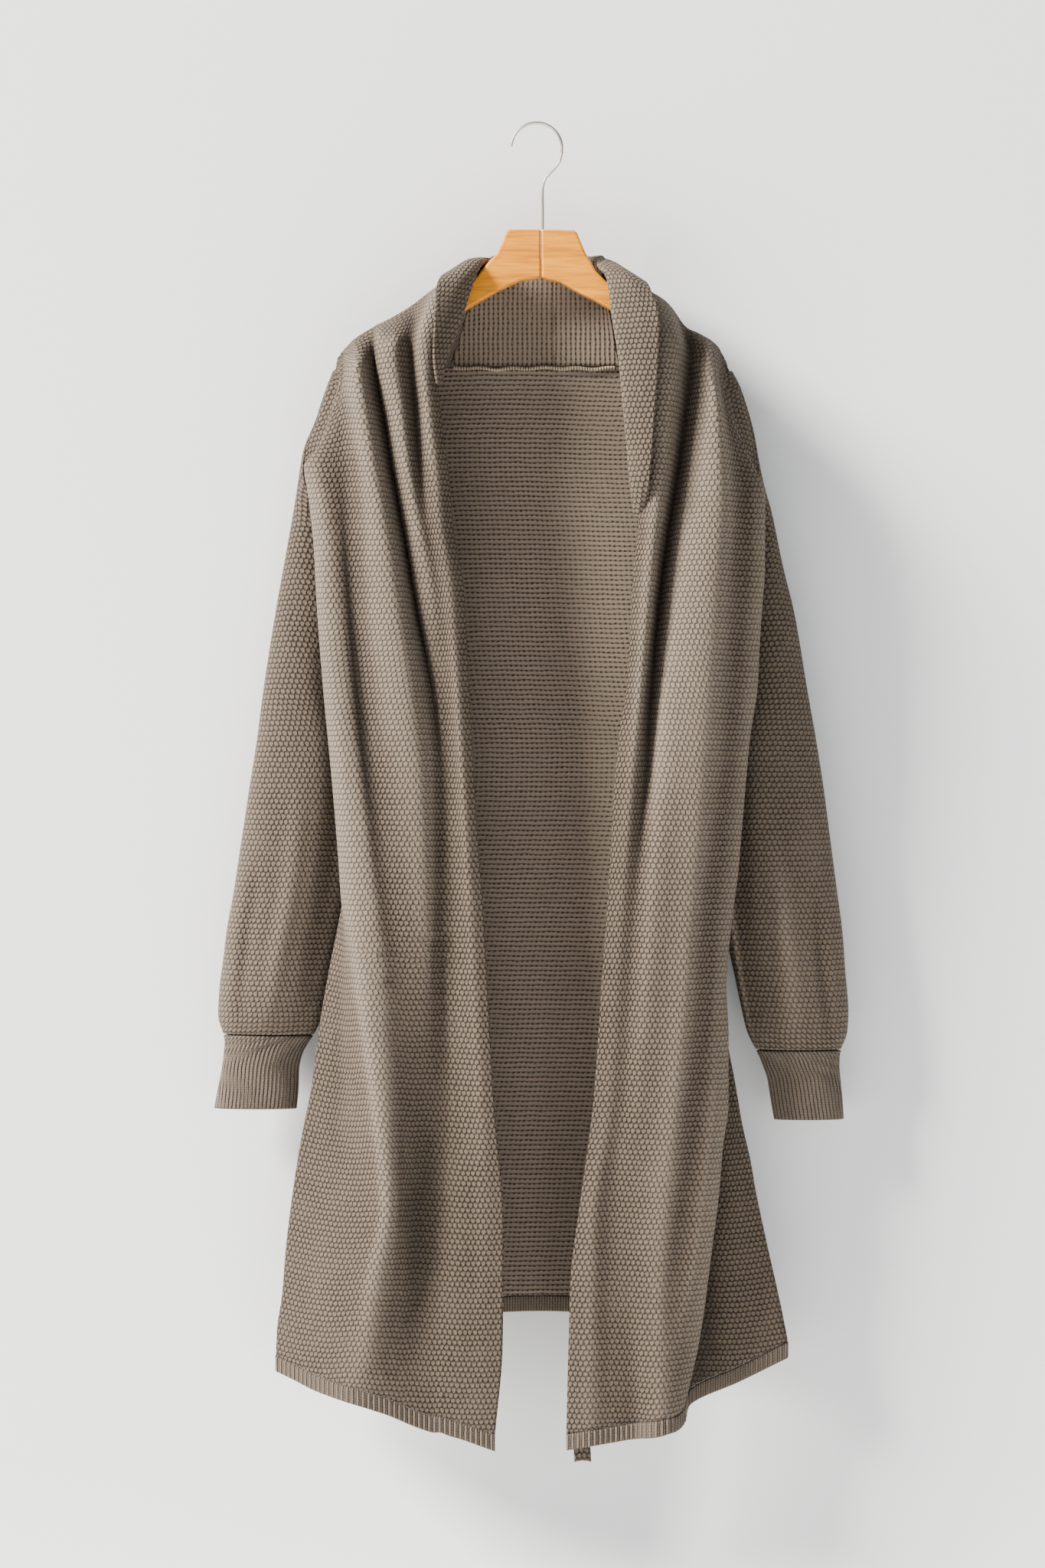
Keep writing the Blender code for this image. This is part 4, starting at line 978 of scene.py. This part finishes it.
@dataclass
class ClothShell:
    """A cloth panel: a fine grid of its middle surface, given a wall, soft rims and a UV map."""

    name: str
    grid: np.ndarray
    outward: int = 1
    wall: float = CLOTH
    closed: bool = False
    turned: bool = False
    level_z: float | None = -600.0
    raised: np.ndarray | None = None
    round_rims: bool = True

    def measure(self) -> tuple[np.ndarray, np.ndarray]:
        """How far each point lies across and down the flat cloth, in millimetres.

        Returns:
            The distance across and the distance down, for every point of the grid.
        """
        loop = np.concatenate((self.grid, self.grid[:, :1]), axis=1) if self.closed else self.grid
        across = arc(loop, 1)
        down = arc(loop, 0)
        if self.level_z is None:
            return across, down
        level_row = np.argmin(np.abs(loop[:, :, 2] - self.level_z), axis=0)
        columns = np.arange(loop.shape[1])
        short = loop[level_row, columns, 2] - self.level_z
        return across, down - down[level_row, columns] - short

    def build(self, outside: bpy.types.Material, inside: bpy.types.Material) -> bpy.types.Object:
        """Make the panel's mesh.

        Args:
            outside: The finish of the side that the grid's outward normals leave.
            inside: The finish of the other side.

        Returns:
            The finished object, at the origin.
        """
        rows, columns = self.grid.shape[:2]
        if self.closed:
            padded = np.concatenate((self.grid[:, -1:], self.grid, self.grid[:, :1]), axis=1)
            normals = grid_normals(padded)[:, 1:-1] * self.outward
        else:
            normals = grid_normals(self.grid) * self.outward
        half = self.wall / 2
        lift = np.full((rows, columns), half) if self.raised is None else half + self.raised
        outer = self.grid + normals * lift[..., None]
        inner = self.grid - normals * half
        if self.round_rims and not self.closed:
            outer, inner = self._soften(outer), self._soften(inner)
        points = [outer.reshape(-1, 3), inner.reshape(-1, 3)]
        total = rows * columns
        front = grid_faces(rows, columns, self.closed)
        back = grid_faces(rows, columns, self.closed, total)[:, ::-1]
        if self.outward < 0:
            front, back = front[:, ::-1], back[:, ::-1]
        rim_points, rim_faces = self._rims(rows, columns, total)
        points.append(rim_points)
        faces = [front, back, rim_faces]
        mesh = bpy.data.meshes.new(self.name)
        mesh.from_pydata((np.vstack(points) * MM).tolist(), [], np.vstack(faces).tolist())
        mesh.materials.append(outside)
        mesh.materials.append(inside)
        sides = np.zeros(len(mesh.polygons), dtype=np.int32)
        sides[len(front):len(front) + len(back)] = 1
        mesh.polygons.foreach_set("material_index", sides)
        self._map(mesh, rows, columns, total)
        # Painted shade and light of the folds: each point's sinking into a fold, which darkens the
        # grooves and pales the crests in the yarn finish.
        sunk = mesh.attributes.new("painted_fold_shading", "FLOAT", "POINT")
        depth = self._painted_fold_shading(normals).reshape(-1)
        values = np.zeros(len(mesh.vertices), dtype=np.float32)
        values[:total], values[total:2 * total] = depth, -depth
        sunk.data.foreach_set("value", values)
        mesh.shade_smooth()
        return place_object(self.name, mesh)

    def _painted_fold_shading(self, normals: np.ndarray) -> np.ndarray:
        """How far each point is sunk into a fold, from -1 on a crest to 1 in a groove: the mask of the
        painted shade in the grooves and the painted light on the crests.

        Args:
            normals: The outward normals.

        Returns:
            The depth of every point of the grid.
        """
        eased = self.grid.copy()
        for _ in range(FOLD_SHADING_EASING):
            eased[:, 1:-1] = (eased[:, :-2] + 2 * eased[:, 1:-1] + eased[:, 2:]) / 4
        sunk = np.sum((eased - self.grid) * normals, axis=2) / FOLD_SHADING_REACH
        margin = np.minimum(np.arange(sunk.shape[1]), np.arange(sunk.shape[1])[::-1]) / 6.0
        return np.clip(sunk, -1.0, 1.0) * np.clip(margin, 0.0, 1.0)

    def _soften(self, side: np.ndarray) -> np.ndarray:
        """Pull a side's outermost points back from the rim, so that the rim is round.

        Args:
            side: The points of one side of the wall.

        Returns:
            The points with the rim's pulled in.
        """
        pulled = side.copy()
        every = slice(None)
        for edge, beside in (((0, every), (1, every)), ((-1, every), (-2, every)),
                             ((every, 0), (every, 1)), ((every, -1), (every, -2))):
            step = pulled[beside] - pulled[edge]
            length = np.maximum(np.linalg.norm(step, axis=1, keepdims=True), 1e-6)
            pulled[edge] = pulled[edge] + step / length * np.minimum(length * 0.6, self.wall * 0.3)
        return pulled

    def _rim_loops(self, rows: int, columns: int) -> list[np.ndarray]:
        """The point numbers along each rim: one loop round a panel, or the two ends of a tube.

        Args:
            rows: The grid's rows.
            columns: The grid's columns.

        Returns:
            The loops, each in the order that turns the rim's faces outwards.
        """
        ids = np.arange(rows * columns).reshape(rows, columns)
        if self.closed:
            return [ids[0], ids[-1][::-1]]
        return [np.concatenate((ids[0], ids[1:, -1], ids[-1, -2::-1], ids[-2:0:-1, 0]))]

    def _rims(self, rows: int, columns: int, total: int) -> tuple[np.ndarray, np.ndarray]:
        """The rim between the two sides, with one loop of points in the middle of the wall.

        Args:
            rows: The grid's rows.
            columns: The grid's columns.
            total: How many points one side has.

        Returns:
            The rim's own points and its faces.
        """
        flat = self.grid.reshape(-1, 3)
        points, faces = [], []
        start = 2 * total
        for loop in self._rim_loops(rows, columns):
            middle = np.arange(start, start + len(loop))
            start += len(loop)
            points.append(flat[loop])
            after, middle_after = np.roll(loop, -1), np.roll(middle, -1)
            pair = [np.stack((loop, after, middle_after, middle), axis=1),
                    np.stack((middle, middle_after, after + total, loop + total), axis=1)]
            faces += pair if self.outward > 0 else [quads[:, ::-1] for quads in pair]
        return np.vstack(points), np.vstack(faces)

    def _map(self, mesh: bpy.types.Mesh, rows: int, columns: int, total: int) -> None:
        """Give each corner its place on the flat cloth.

        Args:
            mesh: The panel's mesh.
            rows: The grid's rows.
            columns: The grid's columns.
            total: How many points one side has.
        """
        across, down = self.measure()
        corners = np.zeros(len(mesh.loops), dtype=np.int32)
        mesh.loops.foreach_get("vertex_index", corners)
        loops = self._rim_loops(rows, columns)
        source = np.concatenate([np.arange(total), np.arange(total), *loops])[corners]
        row, column = np.divmod(source, columns)
        if self.closed:
            column = self._close_column(column)
        u, v = across[row, column], down[row, column]
        if self.turned:
            u, v = v, u
        layer = mesh.uv_layers.new(name="cloth_mm")
        layer.data.foreach_set("uv", (np.stack((u, v), axis=1) * MM).reshape(-1))

    def _close_column(self, column: np.ndarray) -> np.ndarray:
        """On a closed ring, let the faces that meet the first column again end at a full turn.

        Args:
            column: The column of every face corner.

        Returns:
            The columns, with one past the last where a face closes the ring.
        """
        quads = column.reshape(-1, 4).copy()
        wraps = quads.max(axis=1) - quads.min(axis=1) > self.grid.shape[1] // 2
        quads[wraps] = np.where(quads[wraps] == 0, self.grid.shape[1], quads[wraps])
        return quads.reshape(-1)

    def flat_size(self) -> tuple[float, float]:
        """Mean width and length of the flat cloth, in metres."""
        across, down = self.measure()
        width = float(np.mean(across[:, -1])) * MM
        length = float(np.mean(down[-1] - down[0])) * MM
        return width, length


def respace(route: np.ndarray, pieces: int) -> np.ndarray:
    """Points at even distances along a route, with both of its ends.

    Args:
        route: The points of the route.
        pieces: How many pieces to divide it into.

    Returns:
        The points, one more than the pieces.
    """
    lengths = np.concatenate(([0.0], np.cumsum(np.linalg.norm(np.diff(route, axis=0), axis=1))))
    places = np.linspace(0.0, lengths[-1], pieces + 1)
    return np.stack([np.interp(places, lengths, route[:, axis]) for axis in range(3)], axis=1)


def dress(panel: bpy.types.Object, node: str, flat: tuple[float, float]) -> None:
    """Hang a finished cloth piece on the frame in place of its node.

    Args:
        panel: The finished piece.
        node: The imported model's node that it stands for.
        flat: The cut's width and length, in metres.
    """
    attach(panel, "root")
    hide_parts(node)
    log.info("%s: %d faces, cut %.0f by %.0f mm", panel.name, len(panel.data.polygons),
             flat[0] / MM, flat[1] / MM)


class Side(Enum):
    """The viewer's left or right."""

    LEFT = "left"
    RIGHT = "right"


@dataclass
class FrontPanel:
    """One front: cut in one with its roll collar, folded back along the edge and hung in folds."""

    side: Side
    rails: Mapping[str, Any]
    sleeve: Sequence[Sequence[float]]
    neck_x: float
    steps: int = 7
    rows: int = 230
    creases: Sequence[Crease] = ()

    def build(self, finishes: Wardrobe) -> np.ndarray:
        """Build and dress the panel.

        Args:
            finishes: The garment's finishes.

        Returns:
            The panel's lower edge, which its rib band hangs from.
        """
        grid = front_grid(self.rails, self.sleeve, self.neck_x, self.steps, self.rows)
        outward = 1 if self.side is Side.LEFT else -1
        for crease in self.creases:
            grid = crease.apply(grid, grid_normals(grid) * outward)
        shell = ClothShell(f"{self.side.value}_front_knit", grid, outward=outward)
        panel = shell.build(finishes.outside, finishes.inside)
        dress(panel, f"front_{self.side.value}", shell.flat_size())
        return grid[-1]


@dataclass
class BackPanel:
    """The back: one loose panel under the yoke seam, seen from inside between the fronts."""

    columns: int = 110
    rows: int = 200

    def build(self, finishes: Wardrobe, neck_seam: bpy.types.Object) -> np.ndarray:
        """Build and dress the panel.

        Args:
            finishes: The garment's finishes.
            neck_seam: The overlocked seam along its top; not used.

        Returns:
            The panel's lower edge, which its rib band hangs from.
        """
        grid = back_grid(self.columns, self.rows)
        shell = ClothShell("back_knit", grid)
        panel = shell.build(finishes.outside, finishes.inside)
        dress(panel, "back_panel", shell.flat_size())
        return grid[-1]


@dataclass
class Sleeve:
    """A full sleeve set into a dropped armhole, hanging straight and pouching over its cuff."""

    side: Side
    sections: Sequence[Sequence[float]]
    columns: int = 110
    rows: int = 170
    creases: Sequence[Crease] = ()

    def build(self, finishes: Wardrobe) -> None:
        """Build and dress the sleeve.

        Args:
            finishes: The garment's finishes.
        """
        grid = sleeve_grid(self.sections, self.columns, self.rows)
        outward = 1 if self.side is Side.LEFT else -1
        for crease in self.creases:
            grid = crease.apply(grid, grid_normals(grid) * outward)
        shell = ClothShell(f"{self.side.value}_sleeve_knit", grid, outward=outward)
        panel = shell.build(finishes.outside, finishes.inside)
        dress(panel, f"sleeve_{self.side.value}", shell.flat_size())


@dataclass
class RollCollar:
    """Half of the collar: the stand round the back neck and the edge that falls outwards."""

    side: Side
    stations: Sequence[Sequence[Sequence[float]]]
    rails: Mapping[str, Any]
    neck_x: float
    rises: int = 36
    steps: int = 14
    fall_steps: int = 10

    def build(self, finishes: Wardrobe) -> None:
        """Build and dress the stand and the fall.

        Args:
            finishes: The garment's finishes.
        """
        outward = 1 if self.side is Side.LEFT else -1
        stand_points = stand_grid(self.stations, self.rails, self.neck_x, self.steps, self.rises)
        stand = ClothShell(f"{self.side.value}_collar_stand_knit", stand_points, outward=outward,
                           turned=True, level_z=None, round_rims=False)
        panel = stand.build(finishes.outside, finishes.stand)
        dress(panel, f"collar_stand_{self.side.value}", stand.flat_size())
        fall_points = fall_grid(self.stations, self.fall_steps, self.fall_steps)
        fall = ClothShell(f"{self.side.value}_collar_fall_knit", fall_points, outward=outward,
                          level_z=FALL_LEVEL_Z)
        panel = fall.build(finishes.outside, finishes.outside)
        dress(panel, f"collar_fall_{self.side.value}", fall.flat_size())


@dataclass
class RibBand:
    """The narrow rib band knitted on along a lower edge."""

    name: str
    node: str
    edge: np.ndarray
    facing: float
    with_pieces: Sequence[bpy.types.Object] = ()
    per_rib: int = 8
    raise_by: float = 1.2
    heights: int = 9

    def build(self, finishes: Wardrobe) -> None:
        """Build and dress the band.

        Args:
            finishes: The garment's finishes.
        """
        length = float(np.sum(np.linalg.norm(np.diff(self.edge, axis=0), axis=1)))
        path = respace(self.edge, self.per_rib * max(int(round(length / HEM_RIB)), 3))
        run = np.gradient(path, axis=0)
        slope = np.abs(run[:, 2]) / np.maximum(np.hypot(run[:, 0], run[:, 1]), 0.3)
        top = path.copy()
        top[:, 2] -= SEAM * (2.0 + 2.5 * np.minimum(slope, 2.0))
        drops = np.linspace(0.0, HEM_BAND, self.heights)
        grid = np.array([top - (0.0, 0.0, drop) for drop in drops])
        ribs = 0.5 - 0.5 * np.cos(2 * math.pi * np.arange(len(path)) / self.per_rib)
        flute = np.power(ribs, 0.7) * self.raise_by
        soften = np.clip(np.minimum(drops + 1.0, HEM_BAND - drops + 1.5) / 3.0, 0.35, 1.0)
        raised = soften[:, None] * flute[None, :]
        outward = -1 if np.sum(grid_normals(grid)[..., 1]) * self.facing < 0.0 else 1
        shell = ClothShell(self.name, grid, outward=outward, raised=raised, level_z=None)
        panel = shell.build(finishes.hem_rib, finishes.hem_rib)
        dress(panel, self.node, shell.flat_size())


@dataclass
class Cuff:
    """A deep ribbed cuff that draws the sleeve in."""

    side: Side
    rings: Sequence[Sequence[float]]
    per_rib: int = 6
    raise_by: float = 0.9
    heights: int = 30
    stretch: float = 1.25

    def build(self, finishes: Wardrobe) -> None:
        """Build and dress the cuff.

        Args:
            finishes: The garment's finishes.
        """
        heights = np.linspace(self.rings[0][0], self.rings[-1][0], self.heights)
        angles = np.linspace(0.0, 2 * math.pi, 361)[:-1]
        ribs = None
        grid = []
        for z in heights:
            section = smooth(self.rings, z)
            ring = np.array([(*ring_point(section, angle), z) for angle in angles])
            if ribs is None:
                around = float(np.sum(np.linalg.norm(ring - np.roll(ring, 1, axis=0), axis=1)))
                ribs = int(round(around / CUFF_RIB / self.stretch))
            grid.append(respace(np.vstack((ring, ring[:1])), self.per_rib * ribs)[:-1])
        grid = np.array(grid)
        phase = 2 * math.pi * np.arange(grid.shape[1]) / self.per_rib
        flute = np.power(0.5 - 0.5 * np.cos(phase), 0.7) * self.raise_by
        down = (heights[0] - heights) / (heights[0] - heights[-1])
        # The rib is pulled open lower down, so its furrows are deep only near the sleeve.
        strength = np.interp(down, (0.0, 0.15, 0.5, 0.93, 1.0), (1.0, 1.0, 0.62, 0.45, 0.25))
        shell = ClothShell(f"{self.side.value}_cuff_knit", grid, closed=True,
                           outward=1 if self.side is Side.LEFT else -1,
                           raised=strength[:, None] * flute[None, :], level_z=None)
        panel = shell.build(finishes.cuff_rib, finishes.cuff_rib)
        dress(panel, f"cuff_{self.side.value}", shell.flat_size())


def turned_under_tip(finishes: Wardrobe) -> bpy.types.Object:
    """The end of the right front's turned-under edge, which peeps out below its hem.

    Args:
        finishes: The garment's finishes.

    Returns:
        The tip, hung on the frame.
    """
    grid = np.array([[(x + 1.5 * drop, TIP_Y + 0.8 * drop,
                       TIP_Z - TIP_LENGTH * drop - 0.02 * (x - TIP_MIDDLE_X) ** 2)
                      for x in np.linspace(TIP_INNER_X, TIP_OUTER_X, TIP_STEPS)]
                     for drop in np.linspace(0.0, 1.0, TIP_STEPS)])
    outward = -1 if np.sum(grid_normals(grid)[..., 1]) > 0.0 else 1
    shell = ClothShell("right_front_turned_under_tip", grid, outward=outward, wall=TIP_WALL, level_z=None)
    tip = shell.build(finishes.outside, finishes.outside)
    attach(tip, "root")
    return tip


def neck_seam_route() -> np.ndarray:
    """The line of the overlocked seam along the inside of the back neck."""
    depth = yoke_seam(0.0)[0] - CLOTH / 2 - 0.35 - 1.9
    xs = np.linspace(NECK_LEFT_X + 4.0, NECK_RIGHT_X - 4.0, 120)
    waver = 0.7 * np.sin(xs * 0.21) + 0.5 * np.sin(xs * 0.077 + 1.0)
    return np.stack((xs, np.full_like(xs, depth), YOKE_Z - 2.0 + waver), axis=1)


@dataclass
class NeckSeam:
    """The overlocked seam: a raised cord of joined edges, wrapped with slanting thread."""

    core: float = 1.6
    thread: float = 0.5
    pitch: float = 2.6
    seed: int = 7

    def build(self, finishes: Wardrobe) -> bpy.types.Object:
        """Build the seam's core and its wrapped stitches as one mesh.

        Args:
            finishes: The garment's finishes.

        Returns:
            The seam.
        """
        route = neck_seam_route()
        curve = bpy.data.curves.new("neck_seam_route", "CURVE")
        curve.dimensions = "3D"
        line = curve.splines.new("POLY")
        line.points.add(len(route) - 1)
        for point, place in zip(line.points, route):
            point.co = (*(place * MM), 1.0)
        carrier = place_object("neck_seam_overlock", curve)
        stitched = self._stitch(carrier, finishes.overlock)
        layer = stitched.data.uv_layers.new(name="cloth_mm")
        corners = np.zeros(len(stitched.data.loops), dtype=np.int32)
        stitched.data.loops.foreach_get("vertex_index", corners)
        places = np.zeros(len(stitched.data.vertices) * 3)
        stitched.data.vertices.foreach_get("co", places)
        places = places.reshape(-1, 3)[corners]
        wrapped = np.stack((places[:, 0], places[:, 2] + places[:, 1]), axis=1)
        layer.data.foreach_set("uv", wrapped.reshape(-1))
        return stitched

    def _stitch(self, carrier: bpy.types.Object, finish: bpy.types.Material) -> bpy.types.Object:
        """Sweep the core and wrap a slanting thread at every stitch with a node tree.

        Args:
            carrier: The curve that the seam follows.
            finish: The thread's material.

        Returns:
            The seam as a plain mesh.
        """
        tree = bpy.data.node_groups.new("overlock_stitches", "GeometryNodeTree")
        face = tree.interface
        face.new_socket("Geometry", in_out="INPUT", socket_type="NodeSocketGeometry")
        sizes = {}
        for name in ("Core Radius", "Thread Radius", "Stitch Pitch"):
            sizes[name] = face.new_socket(name, in_out="INPUT", socket_type="NodeSocketFloat").identifier
        face.new_socket("Geometry", in_out="OUTPUT", socket_type="NodeSocketGeometry")
        source = add_node(tree, "NodeGroupInput")
        ring, loop, thread = (add_node(tree, "GeometryNodeCurvePrimitiveCircle", {},
                                       {"Resolution": sides, "Radius": source.outputs[size]})
                              for sides, size in ((10, "Core Radius"), (12, "Core Radius"),
                                                  (5, "Thread Radius")))
        core = add_node(tree, "GeometryNodeCurveToMesh", {},
                        {0: source.outputs["Geometry"], 1: ring.outputs[0], "Fill Caps": True})
        beads = add_node(tree, "GeometryNodeCurveToPoints", {"mode": "LENGTH"},
                         {0: source.outputs["Geometry"], "Length": source.outputs["Stitch Pitch"]})
        wrap = add_node(tree, "GeometryNodeCurveToMesh", {}, {0: loop.outputs[0], 1: thread.outputs[0]})
        lean = add_node(tree, "FunctionNodeRandomValue", {"data_type": "FLOAT"},
                        {2: 0.25, 3: 0.6, "Seed": self.seed})
        tilt = add_node(tree, "ShaderNodeCombineXYZ", {}, {0: lean.outputs[1], 1: math.pi / 2, 2: 0.0})
        wraps = add_node(tree, "GeometryNodeInstanceOnPoints", {},
                         {0: beads.outputs[0], 2: wrap.outputs[0], 5: tilt.outputs[0]})
        joined = add_node(tree, "GeometryNodeJoinGeometry")
        tree.links.new(core.outputs[0], joined.inputs[0])
        tree.links.new(wraps.outputs[0], joined.inputs[0])
        real = add_node(tree, "GeometryNodeRealizeInstances", {}, {0: joined.outputs[0]})
        dressed = add_node(tree, "GeometryNodeSetMaterial", {}, {0: real.outputs[0], "Material": finish})
        sink = add_node(tree, "NodeGroupOutput")
        tree.links.new(dressed.outputs[0], sink.inputs[0])
        modifier = carrier.modifiers.new("overlock", "NODES")
        modifier.node_group = tree
        modifier[sizes["Core Radius"]] = self.core * MM
        modifier[sizes["Thread Radius"]] = self.thread * MM
        modifier[sizes["Stitch Pitch"]] = self.pitch * MM
        graph = bpy.context.evaluated_depsgraph_get()
        mesh = bpy.data.meshes.new_from_object(carrier.evaluated_get(graph), depsgraph=graph)
        name = carrier.name
        bpy.data.objects.remove(carrier)
        return place_object(name, mesh)

    def dress(self, seam: bpy.types.Object) -> None:
        """Hang the seam on the frame in place of its node."""
        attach(seam, "root")
        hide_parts("neck_seam")


@dataclass
class Hanger:
    """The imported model's wooden hanger and hook, which keep their meshes and get their finishes."""

    def dress(self) -> None:
        """Give the two board halves and the wire their finishes."""
        finishes = {"hanger_left": GrainedWoodFinish("lacquered_wood_left", -35.0),
                    "hanger_right": GrainedWoodFinish("lacquered_wood_right", 35.0),
                    "hanger_hook": DrawnWireFinish("nickel_plated_wire")}
        for node, finish in finishes.items():
            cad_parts[node].material_slots[0].material = finish.build()
            log.info("%s: finished as %s", node, finish.name)


@dataclass(frozen=True)
class StudioFinish:
    """Matt painted plaster, pale and cool, faintly mottled by the roller."""

    name: str = "painted_wall"
    colour: str = "#F0F2F3"

    def build(self) -> bpy.types.Material:
        """Build the material, which lets a view from behind see through the wall.

        Returns:
            The finished material.
        """
        material, do = blank_material(self.name)
        tree = do.tree
        place = add_node(tree, "ShaderNodeTexCoord").outputs["Object"]
        mottle = do.noise(place, 260.0, 3.0)
        paint = rough_surface(do, linear(self.colour), mottle, (0.25, 0.0004), {"Roughness": 0.9})
        clear = add_node(tree, "ShaderNodeBsdfTransparent")
        behind = add_node(tree, "ShaderNodeNewGeometry").outputs["Backfacing"]
        mixed = add_node(tree, "ShaderNodeMixShader", {},
                         {0: behind, 1: paint.outputs[0], 2: clear.outputs[0]})
        add_node(tree, "ShaderNodeOutputMaterial", {}, {0: mixed.outputs[0]})
        return material


@dataclass
class Studio:
    """The plain wall, its floor, the lights and the camera.

    Sizes are in metres, and the lens is in millimetres.
    """

    wall_y: float = 0.062
    floor_z: float = -1.75
    cove: float = 0.5
    wall_top: float = 1.6
    floor_end: float = -4.6
    half_wide: float = 3.2
    viewpoint: tuple[float, float, float] = (-0.01295, -3.63, -0.6083)
    lens: float = 90.4

    def build(self) -> None:
        """Build the stage, the lights and the camera."""
        self._backdrop()
        self._light("key", (-8.0, -3.5, 5.6), (0.0, 0.0, -0.6), 3.2, 5700.0, "#FFFAF4")
        self._light("fill", (2.6, -5.2, -0.4), (0.0, 0.0, -0.7), 3.0, 45.0, "#F1F5FF")
        world = bpy.data.worlds.new("studio_air")
        world.use_nodes = True
        world.node_tree.nodes["Background"].inputs[0].default_value = linear("#EEF1F4")
        world.node_tree.nodes["Background"].inputs[1].default_value = 0.24
        bpy.context.scene.world = world
        self._camera()

    def _backdrop(self) -> None:
        """A wall that curves out into a floor."""
        profile = [(self.wall_y, self.wall_top), (self.wall_y, self.floor_z + self.cove)]
        for turn in np.linspace(0.0, math.pi / 2, 13)[1:]:
            profile.append((self.wall_y - self.cove + self.cove * math.cos(turn),
                            self.floor_z + self.cove - self.cove * math.sin(turn)))
        profile.append((self.floor_end, self.floor_z))
        points = [(x, y, z) for y, z in profile for x in (-self.half_wide, self.half_wide)]
        faces = [(2 * row, 2 * row + 2, 2 * row + 3, 2 * row + 1) for row in range(len(profile) - 1)]
        mesh = bpy.data.meshes.new("studio_wall")
        mesh.from_pydata(points, [], faces)
        mesh.materials.append(StudioFinish().build())
        mesh.shade_smooth()
        place_object("studio_wall", mesh)

    def _light(self, name: str, place: tuple[float, float, float], target: tuple[float, float, float],
               size: float, power: float, colour: str) -> None:
        """Hang a square soft light that faces a target.

        Args:
            name: The light's name.
            place: Where it hangs.
            target: What it faces.
            size: Its side.
            power: Its power in watts.
            colour: Its colour, sRGB.
        """
        light = bpy.data.lights.new(name, "AREA")
        light.shape = "SQUARE"
        light.size = size
        light.energy = power
        light.color = linear(colour)[:3]
        lamp = place_object(name, light)
        lamp.location = place
        aim = Vector(target) - Vector(place)
        lamp.rotation_euler = aim.to_track_quat("-Z", "Y").to_euler()

    def _camera(self) -> None:
        """A long lens, level and square to the wall."""
        camera = bpy.data.cameras.new("photograph")
        camera.sensor_fit = "VERTICAL"
        camera.sensor_height = 36.0
        camera.lens = self.lens
        camera.clip_end = 50.0
        viewer = place_object("photograph", camera)
        viewer.location = self.viewpoint
        viewer.rotation_euler = (math.pi / 2, 0.0, 0.0)
        bpy.context.scene.camera = viewer


# Creases: shares across from the front edge and down from the neck, then millimetres.
FRONT_CREASES = {
    Side.LEFT: (Crease((0.45, 0.60), (0.50, 0.82), (0.57, 0.995), 24.0, -9.0),
                Crease((0.60, 0.50), (0.62, 0.80), (0.68, 0.97), 16.0, 3.5),
                Crease((0.24, 0.30), (0.30, 0.52), (0.36, 0.74), 12.0, -3.0),
                Crease((0.54, 0.26), (0.55, 0.42), (0.53, 0.64), 14.0, 3.0),
                Crease((0.615, 0.20), (0.615, 0.42), (0.60, 0.68), 13.0, 8.0),
                Crease((0.30, 0.78), (0.25, 0.88), (0.22, 0.99), 22.0, 4.0)),
    Side.RIGHT: (Crease((0.30, 0.38), (0.29, 0.58), (0.28, 0.82), 14.0, 5.0),
                 Crease((0.985, 0.66), (0.985, 0.76), (0.985, 0.90), 2.5, 1.6),
                 Crease((0.55, 0.42), (0.52, 0.66), (0.44, 0.97), 16.0, -4.5),
                 Crease((0.80, 0.64), (0.84, 0.82), (0.86, 0.995), 14.0, -5.0)),
}

# On a sleeve, the first share goes round from the front of the armhole to its back.
SLEEVE_CREASES = {
    Side.LEFT: (Crease((0.10, 0.40), (0.14, 0.70), (0.12, 0.97), 12.0, -4.5),
                Crease((0.26, 0.62), (0.24, 0.82), (0.26, 0.985), 9.0, 3.0),
                Crease((0.36, 0.74), (0.36, 0.90), (0.34, 0.99), 7.0, -3.0)),
    Side.RIGHT: (Crease((0.10, 0.40), (0.14, 0.70), (0.12, 0.97), 12.0, -4.5),
                 Crease((0.24, 0.66), (0.26, 0.84), (0.24, 0.985), 9.0, 3.0),
                 Crease((0.36, 0.76), (0.34, 0.90), (0.36, 0.99), 7.0, -3.0)),
}


def main() -> None:
    """Build the garment, dress the hanger and set the stage."""
    logging.basicConfig(level=logging.INFO, format="%(name)s: %(message)s")
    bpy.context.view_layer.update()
    finishes = Wardrobe()
    seam_maker = NeckSeam()
    seam = seam_maker.build(finishes)
    seam_maker.dress(seam)
    back_edge = BackPanel().build(finishes, seam)
    RibBand("back_hem_rib", "hem_band_back", back_edge, 1.0).build(finishes)
    sides = ((Side.LEFT, LEFT_FRONT, LEFT_SLEEVE, LEFT_COLLAR, LEFT_CUFF, NECK_LEFT_X),
             (Side.RIGHT, RIGHT_FRONT, RIGHT_SLEEVE, RIGHT_COLLAR, RIGHT_CUFF, NECK_RIGHT_X))
    for side, rails, sleeve, collar, cuff, neck_x in sides:
        edge = FrontPanel(side, rails, sleeve, neck_x, creases=FRONT_CREASES[side]).build(finishes)
        tip = [turned_under_tip(finishes)] if side is Side.RIGHT else []
        RibBand(f"{side.value}_front_hem_rib", f"hem_band_front_{side.value}", edge, -1.0,
                tip).build(finishes)
        Sleeve(side, sleeve, creases=SLEEVE_CREASES[side]).build(finishes)
        Cuff(side, cuff).build(finishes)
        RollCollar(side, collar, rails, neck_x).build(finishes)
    Hanger().dress()
    Studio().build()


if __name__ == "__main__":
    main()
